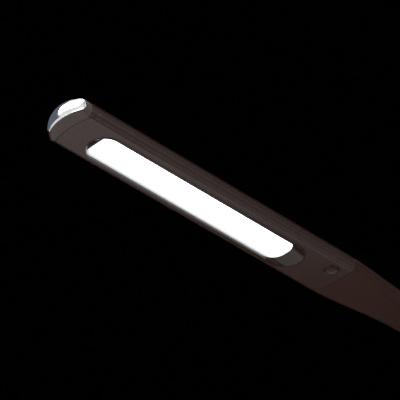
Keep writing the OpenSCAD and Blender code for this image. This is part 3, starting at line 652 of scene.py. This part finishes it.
armCover = armTube("arm_cover", 0)
shape(armCover, armTube("armHollow", arm["wall"]))
for middle, sizes in ((armLow.z, baseHingeSizes), (armHigh.z, knuckleHinge)):
    halfSlot, halfDeep = (sizes["lug"] + arm["slotExtra"]) / 2, arm["slotDeep"] / 2
    shape(armCover, addBlock("lugSlot", (-halfSlot, baseHinge.y - halfDeep, middle - arm["slotHigh"]),
                             (halfSlot, baseHinge.y + halfDeep, middle + arm["slotHigh"])))
armFront = halfOf(armCover, "arm_front_skin", (-far, -far, 0), (far, baseHinge.y - seamGap / 2, 1))
armRear = halfOf(armCover, "arm_rear_skin", (-far, baseHinge.y + seamGap / 2, 0), (far, far, 1))
bpy.data.objects.remove(armCover, do_unlink=True)
screwLow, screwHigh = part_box("arm_screws")
headRadius = (screwHigh.x - screwLow.x) / 2
screwSpan = screwHigh.z - screwLow.z - 2 * headRadius


def makeArmScrew(height):  # a low round head with a hex socket, on a plain shank
    screw = addRod("armScrew", (0, armBack, height), (0, 1, 0), armScrew["headThick"], headRadius, 48)
    pick(screw, "FACE", lambda face: face.normal.y > 0.95)
    bpy.ops.mesh.inset(thickness=armScrew["rim"], depth=armScrew["rimRise"])
    leaveEdit()
    shape(screw, addRod("hexSocket", (0, armBack - armScrew["socketDepth"], height), (0, 1, 0), 2 * past,
                        armScrew["socket"], 6))
    shank = addRod("shank", (0, screwLow.y, height), (0, 1, 0), armBack - screwLow.y, armScrew["shank"], 24)
    return joined([screw, shank], "armScrew")


screws = []
for step in range(armScrew["count"]):
    height = screwLow.z + headRadius + screwSpan * step / (armScrew["count"] - 1)
    shape(armRear, addRod("screwHole", (0, armBack - armScrew["holeDepth"], height), (0, 1, 0),
                          armScrew["holeDepth"] + 2 * past, armScrew["hole"], 32))
    screws.append(makeArmScrew(height))
armScrews = joined(screws, "arm_cover_screws")
print("arm made")


# ---- base ----

base = dict(corner=24 * mm, edge=4 * mm, wall=2 * mm, cutExtra=0.3 * mm, inletX=-42 * mm, inletRadius=3.8 * mm,
            inletHeight=9.75 * mm, boss=4 * mm, bossInset=10.5 * mm, bossLow=4.5 * mm, screwHole=1.25 * mm,
            inletLength=8 * mm, screwDepth=7 * mm, footBelow=2 * mm, wireWay=2.6 * mm)
baseLow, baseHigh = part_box("base_cover")


def baseBlock(name, inset, low):
    block = addBlock(name, (baseLow.x + inset, baseLow.y + inset, low),
                     (baseHigh.x - inset, baseHigh.y - inset, baseHigh.z - inset))
    roundEdges(block, lambda edge: longWay(edge, 2), base["corner"] - inset, 24)
    top = baseHigh.z - inset
    roundEdges(block, lambda edge: all(near(end.z, top) for end in ends(edge)), base["edge"] - inset / 2, 10)
    return block


baseCover = baseBlock("base_cover_skin", 0, baseLow.z)
shape(baseCover, baseBlock("baseHollow", base["wall"], baseLow.z - past))
for side in (-1, 1):
    for end in (-1, 1):
        x, y, z = side * (baseHigh.x - base["bossInset"]), end * (baseHigh.y - base["bossInset"]), base["bossLow"]
        boss = addRod("boss", (x, y, z), (0, 0, 1), baseHigh.z - base["wall"] / 2 - z, base["boss"], 32)
        shape(boss, addRod("bossHole", (x, y, z - past), (0, 0, 1), base["screwDepth"] + past, base["screwHole"], 24))
        shape(baseCover, boss, "UNION")
hingeHalf = cheekOut(baseHingeSizes) + base["cutExtra"]
hingeLong = baseHingeSizes["radius"] + base["cutExtra"]
shape(baseCover, addBlock("postCut", (-hingeHalf, baseHinge.y - hingeLong, baseHigh.z - base["wall"] - past),
                          (hingeHalf, baseHinge.y + hingeLong, baseHigh.z + past)))
inletFront = (base["inletX"], baseHigh.y - base["wall"] - 2 * past, base["inletHeight"])
shape(baseCover, addRod("inletHole", inletFront, (0, 1, 0), base["inletLength"], base["inletRadius"], 48))

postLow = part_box("hinge_post")[0]
hingePost = twoCheeks("hinge_post_skin", baseHinge, baseHingeSizes, postLow.z - baseHinge.z)
postHalf, postRadius = cheekOut(baseHingeSizes), baseHingeSizes["radius"]
shape(hingePost, addBlock("postFoot", (-postHalf, baseHinge.y - postRadius, postLow.z),
                          (postHalf, baseHinge.y + postRadius, baseHinge.z - postRadius - base["footBelow"])), "UNION")
boreCheeks(hingePost, baseHinge, baseHingeSizes)
shape(hingePost, addRod("wireWay", (0, baseHinge.y, postLow.z - past), (0, 0, 1), baseHinge.z, base["wireWay"], 32))
print("base and hinge post made")


# ---- soft moulded edges ----

softness = ((0.1 * mm, 1, (diffuserPlate,)), (0.08 * mm, 1, (armScrews,)), (0.25 * mm, 2, (lowerPanel, neckBottom)),
            (0.3 * mm, 2, (topShell, neckTop, baseCover)), (0.3 * mm, 3, (bezel,)), (0.45 * mm, 3, (endCap,)),
            (0.2 * mm, 2, (capRing, knuckleCovers, baseCovers)),
            (0.5 * mm, 3, (knuckleBracket, hingePost, armFront, armRear)))  # width of the edge, its steps, the pieces
for width, steps, pieces in softness:
    for piece in pieces:
        softenEdges(piece, width, steps)
        smooth(piece)
cleanMesh(pushButton)
smooth(pushButton)
print("edges softened")


# ---- finishes ----

def newGroup(name, inputs, outputs):
    group = bpy.data.node_groups.new(name, "ShaderNodeTree")
    for direction, sockets in (("INPUT", inputs), ("OUTPUT", outputs)):
        for label, kind, value in sockets:
            socket = group.interface.new_socket(label, in_out=direction, socket_type="NodeSocket" + kind)
            if value is not None:
                socket.default_value = value
    return group, group.nodes.new("NodeGroupInput"), group.nodes.new("NodeGroupOutput")


def addNode(tree, kind, links=None, **settings):  # links feed sockets by name or number, settings are node options
    node = tree.nodes.new(kind)
    for key, value in settings.items():
        setattr(node, key, value)
    for key, value in (links or {}).items():
        if isinstance(value, bpy.types.NodeSocket):
            tree.links.new(value, node.inputs[key])
        else:
            node.inputs[key].default_value = value
    return node


def mathNode(tree, operation, *values, clamp=False):
    node = addNode(tree, "ShaderNodeMath", dict(enumerate(values)), operation=operation, use_clamp=clamp)
    return node.outputs[0]


def blend(tree, share, first, second):  # colours or sockets, mixed by a share
    node = tree.nodes.new("ShaderNodeMix")
    node.data_type = "RGBA"
    for number, value in ((0, share), (6, first), (7, second)):
        if isinstance(value, bpy.types.NodeSocket):
            tree.links.new(value, node.inputs[number])
        else:
            node.inputs[number].default_value = value
    return node.outputs[2]


def smoothRange(tree, value, low, high, start=0.0, end=1.0):
    links = {"Value": value, "From Min": low, "From Max": high, "To Min": start, "To Max": end}
    return addNode(tree, "ShaderNodeMapRange", links, interpolation_type="SMOOTHSTEP").outputs[0]


def along(tree, vector, direction):  # how far a place or a direction reaches along another direction
    return addNode(tree, "ShaderNodeVectorMath", {0: vector, 1: direction}, operation="DOT_PRODUCT").outputs["Value"]


# What the effects below are made of: the noise of each and how strongly it works.
effects = dict(wideGrain=0.23, wideShare=0.5, smudge={"Detail": 4.0, "Roughness": 0.6, "Distortion": 0.4},
               rubRadius=0.7 * mm, rubGain=9.0, rubNoise={"Scale": 160.0, "Detail": 3.0}, dustPower=2.0,
               dustNoise={"Scale": 70.0, "Detail": 6.0, "Roughness": 0.7}, cloudNoise={"Scale": 18.0, "Detail": 3.0},
               dustColour=(0.42, 0.40, 0.37, 1))


def makeGrain():  # fine texture of a moulded or sprayed surface, two sizes of noise
    group, start, end = newGroup("mouldGrain", [("Vector", "Vector", None), ("Scale", "Float", 900.0)],
                                 [("Height", "Float", None)])
    place, scale = start.outputs[0], start.outputs[1]
    fine = addNode(group, "ShaderNodeTexNoise", {"Vector": place, "Scale": scale, "Detail": 2.0})
    wideScale = mathNode(group, "MULTIPLY", scale, effects["wideGrain"])
    wide = addNode(group, "ShaderNodeTexNoise", {"Vector": place, "Scale": wideScale})
    total = mathNode(group, "MULTIPLY_ADD", wide.outputs[0], effects["wideShare"], fine.outputs[0])
    group.links.new(total, end.inputs[0])
    return group


def makeTouch():  # smudges left by hands: a soft value about 0.5 that shifts gloss
    inputs = [("Vector", "Vector", None), ("Scale", "Float", 25.0), ("Base", "Float", 0.3), ("Spread", "Float", 0.1)]
    group, start, end = newGroup("handTouch", inputs, [("Roughness", "Float", None)])
    place, scale, middle, spread = start.outputs[:4]
    cloud = addNode(group, "ShaderNodeTexNoise", {"Vector": place, "Scale": scale, **effects["smudge"]})
    centred = mathNode(group, "SUBTRACT", cloud.outputs[0], 0.5)
    shifted = mathNode(group, "MULTIPLY_ADD", centred, spread, middle, clamp=True)
    group.links.new(shifted, end.inputs[0])
    return group


def makeWear():  # where edges are rubbed: compares the true normal with one rounded over a small radius
    group, start, end = newGroup("edgeWear", [("Vector", "Vector", None), ("Amount", "Float", 0.5)],
                                 [("Mask", "Float", None)])
    place, amount = start.outputs[0], start.outputs[1]
    rounded = addNode(group, "ShaderNodeBevel", {"Radius": effects["rubRadius"]}, samples=4).outputs[0]
    alike = along(group, rounded, addNode(group, "ShaderNodeNewGeometry").outputs["Normal"])
    edge = mathNode(group, "MULTIPLY", mathNode(group, "SUBTRACT", 1.0, alike), effects["rubGain"], clamp=True)
    patchy = addNode(group, "ShaderNodeTexNoise", {"Vector": place, **effects["rubNoise"]})
    broken = mathNode(group, "MULTIPLY", edge, mathNode(group, "MULTIPLY", patchy.outputs[0], amount), clamp=True)
    group.links.new(broken, end.inputs[0])
    return group


def makeDust():  # thin dust on faces that look up
    group, start, end = newGroup("settledDust", [("Vector", "Vector", None), ("Amount", "Float", 0.1)],
                                 [("Mask", "Float", None)])
    place, amount = start.outputs[0], start.outputs[1]
    height = along(group, addNode(group, "ShaderNodeNewGeometry").outputs["Normal"], (0, 0, 1))
    up = mathNode(group, "POWER", mathNode(group, "MAXIMUM", height, 0.0), effects["dustPower"])
    specks = addNode(group, "ShaderNodeTexNoise", {"Vector": place, **effects["dustNoise"]})
    mask = mathNode(group, "MULTIPLY", mathNode(group, "MULTIPLY", up, specks.outputs[0]), amount, clamp=True)
    group.links.new(mask, end.inputs[0])
    return group


mouldGrain, handTouch, edgeWear, settledDust = makeGrain(), makeTouch(), makeWear(), makeDust()


def groupValue(tree, group, place, **values):
    node = addNode(tree, "ShaderNodeGroup", {}, node_tree=group)
    tree.links.new(place, node.inputs["Vector"])
    for key, value in values.items():
        node.inputs[key].default_value = value
    return node.outputs[0]


def makeFinish(name, colour, roughness, metal=0.0, grain=900.0, depth=0.02, touch=0.06, worn=None, wear=0.0, dust=0.0,
               tint=0.04, brushed=None, specular=0.5):  # depth is in millimetres
    material = bpy.data.materials.new(name)
    material.use_nodes = True
    tree = material.node_tree
    shader = tree.nodes["Principled BSDF"]
    place = addNode(tree, "ShaderNodeTexCoord").outputs["Object"]
    spread = place
    if brushed:  # long fine scratches along one axis
        spread = addNode(tree, "ShaderNodeMapping", {"Vector": place, "Scale": brushed}).outputs[0]
    cloud = addNode(tree, "ShaderNodeTexNoise", {"Vector": place, **effects["cloudNoise"]})
    lift = mathNode(tree, "MULTIPLY_ADD", mathNode(tree, "SUBTRACT", cloud.outputs[0], 0.5), 2 * tint, 1.0)
    shade = addNode(tree, "ShaderNodeVectorMath", {0: tuple(colour), "Scale": lift}, operation="SCALE").outputs[0]
    if wear:
        shade = blend(tree, groupValue(tree, edgeWear, place, Amount=wear), shade, (*worn, 1))
    if dust:
        shade = blend(tree, groupValue(tree, settledDust, place, Amount=dust), shade, effects["dustColour"])
    tree.links.new(shade, shader.inputs["Base Color"])
    tree.links.new(groupValue(tree, handTouch, place, Base=roughness, Spread=touch), shader.inputs["Roughness"])
    texture = groupValue(tree, mouldGrain, spread, Scale=grain)
    bump = addNode(tree, "ShaderNodeBump", {"Height": texture, "Strength": 1.0, "Distance": depth * mm})
    tree.links.new(bump.outputs[0], shader.inputs["Normal"])
    shader.inputs["Metallic"].default_value = metal
    shader.inputs["IOR"].default_value = 1.5
    shader.inputs["Specular IOR Level"].default_value = specular
    return material


finishes = dict(
    gloss_brown=makeFinish("glossBrown", (0.030, 0.0113, 0.0079), 0.25, grain=1400, depth=0.002, touch=0.08,
                           dust=0.05, tint=0.05, specular=0.58),
    satin_brown=makeFinish("satinBrown", (0.034, 0.0122, 0.0083), 0.38, grain=2600, depth=0.008, touch=0.08,
                           dust=0.06, tint=0.05, specular=0.24),
    painted_brown=makeFinish("paintedBrown", (0.030, 0.0120, 0.0088), 0.38, grain=1800, depth=0.02, dust=0.14,
                             tint=0.06, worn=(0.25, 0.24, 0.23), wear=0.5),
    chrome=makeFinish("chrome", (0.86, 0.87, 0.89), 0.05, metal=1.0, grain=300, depth=0.0005, touch=0.05, tint=0.01),
    diffuser_white=makeFinish("opalDiffuser", (0.9, 0.91, 0.92), 0.45, grain=3000, depth=0.006, tint=0.01),
    white_plastic=makeFinish("whitePlastic", (0.8, 0.8, 0.79), 0.5, grain=1600, depth=0.01, tint=0.02),
    board_white=makeFinish("whiteBoard", (0.78, 0.78, 0.76), 0.35, grain=2400, depth=0.006, tint=0.02),
    diode_yellow=makeFinish("diodePhosphor", (0.85, 0.62, 0.13), 0.3, grain=2400, depth=0.004, tint=0.04),
    bare_aluminium=makeFinish("bareAluminium", (0.62, 0.63, 0.64), 0.32, metal=1.0, grain=500, depth=0.006, tint=0.04,
                              brushed=(1, 0.05, 1)),
    steel=makeFinish("platedSteel", (0.56, 0.57, 0.58), 0.28, metal=1.0, grain=700, depth=0.004, tint=0.05,
                     brushed=(0.2, 1, 1)),
    brass=makeFinish("plainBrass", (0.62, 0.42, 0.16), 0.3, metal=1.0, grain=700, depth=0.004, tint=0.08),
    cast_iron=makeFinish("coatedIron", (0.075, 0.076, 0.08), 0.55, metal=0.2, grain=600, depth=0.06, tint=0.12),
    rubber=makeFinish("padRubber", (0.018, 0.0175, 0.017), 0.75, grain=900, depth=0.05, tint=0.08),
    black_plastic=makeFinish("blackPlastic", (0.014, 0.0135, 0.013), 0.42, grain=1500, depth=0.01, tint=0.05),
    circuit_green=makeFinish("circuitGreen", (0.012, 0.09, 0.03), 0.3, grain=1500, depth=0.006, tint=0.1),
)
trimFinish = makeFinish("darkTrim", (0.021, 0.0095, 0.0072), 0.1, grain=1400, depth=0.002, touch=0.05, tint=0.05,
                        specular=0.45)
lit = dict(strength=3.0, middle=(1.0, 1.0, 0.99, 1), edge=(0.50, 0.56, 0.62, 1), side=11 * mm, ends=5 * mm,
           sideShare=0.14, endShare=0.3, edgeTint=2.0)


def makeGlow():  # even light that fades to a cool grey where the plate meets its frame
    tree = finishes["diffuser_white"].node_tree
    shader = tree.nodes["Principled BSDF"]
    low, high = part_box("diffuser")
    left = low.x + window["lap"] - window["under"]
    front, back = low.y + window["lap"], high.y - window["lap"]
    place = addNode(tree, "ShaderNodeTexCoord").outputs["Object"]
    x, y = along(tree, place, (1, 0, 0)), along(tree, place, (0, 1, 0))
    side = smoothRange(tree, x, left, left + lit["side"], lit["sideShare"], 1)
    frontEnd = smoothRange(tree, y, front, front + lit["ends"], lit["endShare"], 1)
    backEnd = smoothRange(tree, y, back - lit["ends"], back, 1, lit["endShare"])
    share = mathNode(tree, "MULTIPLY", side, mathNode(tree, "MULTIPLY", frontEnd, backEnd))
    colour = blend(tree, mathNode(tree, "MULTIPLY", share, lit["edgeTint"], clamp=True), lit["edge"], lit["middle"])
    dimmed = addNode(tree, "ShaderNodeVectorMath", {0: colour, "Scale": share}, operation="SCALE").outputs[0]
    tree.links.new(dimmed, shader.inputs["Emission Color"])
    shader.inputs["Emission Strength"].default_value = lit["strength"]


makeGlow()
print("finishes made")


# ---- each piece on its body, with its finish ----

slotOf = {part["node"]: part["material_slot"] for part in frame["record"]["subparts"]}
bodyOf = {node: body for body, members in frame["record"]["behaviour"]["bodies"].items() for node in members}
for name, node in nodes.items():
    node.data.materials.clear()
    node.data.materials.append(finishes[slotOf[name]])


def dress(piece, pieceName, node, origin=None):  # puts a modelled piece in the place of a packed one
    settle(piece, origin)
    piece.name = piece.data.name = pieceName
    finishPiece(piece, bodyOf[node], finishes[slotOf[node]], slotOf[node], node)


spring = dict(wall=0.4 * mm, travel=0.8 * mm)


def makeSpring():  # the button's spring sleeve; the real one shortens against the switch as the button goes in, this one is a fixed tube
    low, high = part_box("switch_spring")
    x, y, height = (low.x + high.x) / 2, (low.y + high.y) / 2, high.z - low.z
    radius = (high.x - low.x) / 2
    sleeve = addRod("switch_spring_sleeve", (x, y, low.z), (0, 0, 1), height, radius)
    shape(sleeve, addRod("springBore", (x, y, low.z - past), (0, 0, 1), height + 2 * past, radius - spring["wall"]))
    smooth(sleeve)
    dress(sleeve, "switch_spring_sleeve", "switch_spring")
    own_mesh(sleeve)


for piece, pieceName, node in (
        (topShell, "head_top_skin", "head_top_shell"), (lowerPanel, "head_bottom_skin", "head_bottom_panel"),
        (bezel, "window_trim", "window_bezel"), (diffuserPlate, "opal_plate", "diffuser"),
        (endCap, "domed_end_cap", "end_cap"), (capRing, "end_cap_ring", "cap_ring"),
        (pushButton, "push_button", "button_cap"), (neckTop, "neck_top_skin", "neck_top_shell"),
        (neckBottom, "neck_bottom_skin", "neck_bottom_shell")):
    dress(piece, pieceName, node, headOrigin)
bezel.data.materials[0] = trimFinish
makeSpring()
for piece, pieceName, node in (
        (knuckleBracket, "knuckle_bracket_cast", "neck_bracket"), (knuckleCovers, "knuckle_pin_covers", "knuckle_caps"),
        (baseCovers, "base_pin_covers", "base_hinge_caps"), (armFront, "arm_front_skin", "arm_front_shell"),
        (armRear, "arm_rear_skin", "arm_rear_shell"), (armScrews, "arm_socket_screws", "arm_screws"),
        (baseCover, "base_cover_skin", "base_cover"), (hingePost, "hinge_post_cast", "hinge_post")):
    dress(piece, pieceName, node)
print("pieces dressed")


# ---- floor, lights and camera ----

studio = dict(floorSize=12, floorDrop=0.05 * mm, floorTone=(0.74, 0.74, 0.73, 1), floorGloss=0.2, floorRoughness=0.8,
              below=(0.70, 0.70, 0.69, 1), above=(0.0002, 0.0002, 0.0002, 1), horizon=(0.05, 0.35), fill=0.35)
# What the lamp's gloss mirrors: tones, and between which distances (floor) or slopes (air) they change. The floor's
# entries are painted reflection: for glossy rays only, they darken the floor towards the back left and make it glow
# grey far in front.
mirror = dict(front=(0.8, 0.8, 0.8, 1), back=(0.0008, 0.0008, 0.0009, 1), left=(0.11, 0.125, 0.16, 1),
              right=(0.28, 0.28, 0.28, 1), paintedFarGlow=(0.45, 0.45, 0.45, 1), backLeftFade=(0.47, 0.65), fadeLeft=0.05,
              rightFade=(-0.12, 0.14), fadeRight=0.7, farFade=(0.9, 2.5), farWay=(-0.2, -0.98, 0),
              backLeftWay=(-0.7071, 0.7071, 0), frontWay=(0.62, -0.72, 0.3), frontEdge=(0.16, 0.26),
              leftWay=(0, -1, 0), leftEdge=(-0.3, 0.0), rightWay=(0.82, 0.57, 0), rightEdge=(0.45, 0.7),
              rightTop=(0.62, 0.78), rightRise=(0.1, 0.5))


def makeFloor():  # pale and matt to the camera; for glossy rays only, a painted reflection: its colour darkened towards the far left and a painted grey glow far in front
    deselectAll()
    bpy.ops.mesh.primitive_circle_add(vertices=96, radius=studio["floorSize"], fill_type="NGON",
                                      location=(0, 0, -studio["floorDrop"]))
    floor = bpy.context.object
    floor.name = "studio_floor"
    settle(floor)
    material = bpy.data.materials.new("paleFloor")
    material.use_nodes = True
    tree = material.node_tree
    shader = tree.nodes["Principled BSDF"]
    place = addNode(tree, "ShaderNodeTexCoord").outputs["Object"]
    glossy = addNode(tree, "ShaderNodeLightPath").outputs["Is Glossy Ray"]
    black = (0, 0, 0, 1)
    toBackLeft, toRight = along(tree, place, mirror["backLeftWay"]), along(tree, place, (1, 0, 0))
    backLeft = smoothRange(tree, toBackLeft, *mirror["backLeftFade"], 1, mirror["fadeLeft"])
    right = smoothRange(tree, toRight, *mirror["rightFade"], 1, mirror["fadeRight"])
    dimmed = mathNode(tree, "SUBTRACT", 1.0, mathNode(tree, "MULTIPLY", backLeft, right))
    # painted reflection: glossy rays see the floor's colour darkened towards the back left
    tree.links.new(blend(tree, mathNode(tree, "MULTIPLY", dimmed, glossy), studio["floorTone"], black),
                   shader.inputs["Base Color"])
    # painted reflection: glossy rays see the floor glow grey far in front
    far = smoothRange(tree, along(tree, place, mirror["farWay"]), *mirror["farFade"])
    tree.links.new(blend(tree, mathNode(tree, "MULTIPLY", far, glossy), black, mirror["paintedFarGlow"]),
                   shader.inputs["Emission Color"])
    shader.inputs["Emission Strength"].default_value = 1.0
    shader.inputs["Roughness"].default_value = studio["floorRoughness"]
    shader.inputs["Specular IOR Level"].default_value = studio["floorGloss"]
    below = addNode(tree, "ShaderNodeNewGeometry").outputs["Backfacing"]
    clear = addNode(tree, "ShaderNodeBsdfTransparent")
    mixed = addNode(tree, "ShaderNodeMixShader", {0: below, 1: shader.outputs[0], 2: clear.outputs[0]})
    tree.links.new(mixed.outputs[0], tree.nodes["Material Output"].inputs[0])
    floor.data.materials.append(material)
    floor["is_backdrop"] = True


def makeWorld():  # dark behind the lamp, pale where the floor ends, even soft light on everything
    world = bpy.data.worlds.new("studioAir")
    bpy.context.scene.world = world
    world.use_nodes = True
    tree = world.node_tree
    tree.nodes.clear()
    direction = addNode(tree, "ShaderNodeTexCoord").outputs["Generated"]
    up = along(tree, direction, (0, 0, 1))
    front = smoothRange(tree, along(tree, direction, mirror["frontWay"]), *mirror["frontEdge"])
    left = smoothRange(tree, along(tree, direction, mirror["leftWay"]), *mirror["leftEdge"])
    right = smoothRange(tree, along(tree, direction, mirror["rightWay"]), *mirror["rightEdge"])
    low = mathNode(tree, "MULTIPLY", smoothRange(tree, up, *mirror["rightTop"], 1, 0),
                   smoothRange(tree, up, *mirror["rightRise"], 1, 0.5))
    sides = blend(tree, mathNode(tree, "MULTIPLY", low, right), blend(tree, left, mirror["back"], mirror["left"]),
                  mirror["right"])
    height = smoothRange(tree, up, *studio["horizon"])
    seen = addNode(tree, "ShaderNodeBackground", {"Color": blend(tree, height, studio["below"], studio["above"])})
    mirrored = addNode(tree, "ShaderNodeBackground", {"Color": blend(tree, front, sides, mirror["front"])})
    soft = addNode(tree, "ShaderNodeBackground", {"Color": (1, 1, 1, 1), "Strength": studio["fill"]})
    path = addNode(tree, "ShaderNodeLightPath")
    straight = mathNode(tree, "MAXIMUM", path.outputs["Is Camera Ray"], path.outputs["Is Transmission Ray"])
    bounced = addNode(tree, "ShaderNodeMixShader", {0: path.outputs["Is Glossy Ray"], 1: soft.outputs[0],
                                                    2: mirrored.outputs[0]})
    whole = addNode(tree, "ShaderNodeMixShader", {0: straight, 1: bounced.outputs[0], 2: seen.outputs[0]})
    addNode(tree, "ShaderNodeOutputWorld", {0: whole.outputs[0]})


def softbox(name, place, aim, width, height, power):  # a rectangular light that faces a place
    light = bpy.data.lights.new(name, "AREA")
    light.shape = "RECTANGLE"
    light.size, light.size_y, light.energy = width, height, power
    lamp = bpy.data.objects.new(name, light)
    bpy.context.scene.collection.objects.link(lamp)
    lamp.location = place
    lamp.rotation_euler = (Vector(aim) - Vector(place)).to_track_quat("-Z", "Y").to_euler()


makeFloor()
makeWorld()
softbox("frontBox", (-0.45, -2.3, 1.9), (0, -0.3, 0.5), 2.4, 2.0, 88)
softbox("topBox", (0.5, -0.9, 2.4), (0, 0, 0.2), 1.6, 1.6, 11)

view = dict(azimuth=46, elevation=-37, distance=2.2, aim=headOrigin + Vector((3.01, 133.45, 0.65)) * mm,
            across=307.7 * mm, sensor=36, near=0.05, far=50)


def makeCamera():
    camera = bpy.data.cameras.new("camera")
    holder = bpy.data.objects.new("camera", camera)
    bpy.context.scene.collection.objects.link(holder)
    turn, rise = math.radians(view["azimuth"]), math.radians(view["elevation"])
    away = Vector((math.sin(turn) * math.cos(rise), -math.cos(turn) * math.cos(rise), math.sin(rise)))
    holder.location = view["aim"] + away * view["distance"]
    holder.rotation_euler = (-away).to_track_quat("-Z", "Y").to_euler()
    camera.sensor_width = view["sensor"]
    camera.lens = view["sensor"] * view["distance"] / view["across"]
    camera.clip_start, camera.clip_end = view["near"], view["far"]
    bpy.context.scene.camera = holder


makeCamera()
bpy.context.scene.view_settings.view_transform = "Standard"
print("studio made")

sizes = {"cad": [list(corner) for corner in cadBox], "visual": [list(corner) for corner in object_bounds()]}
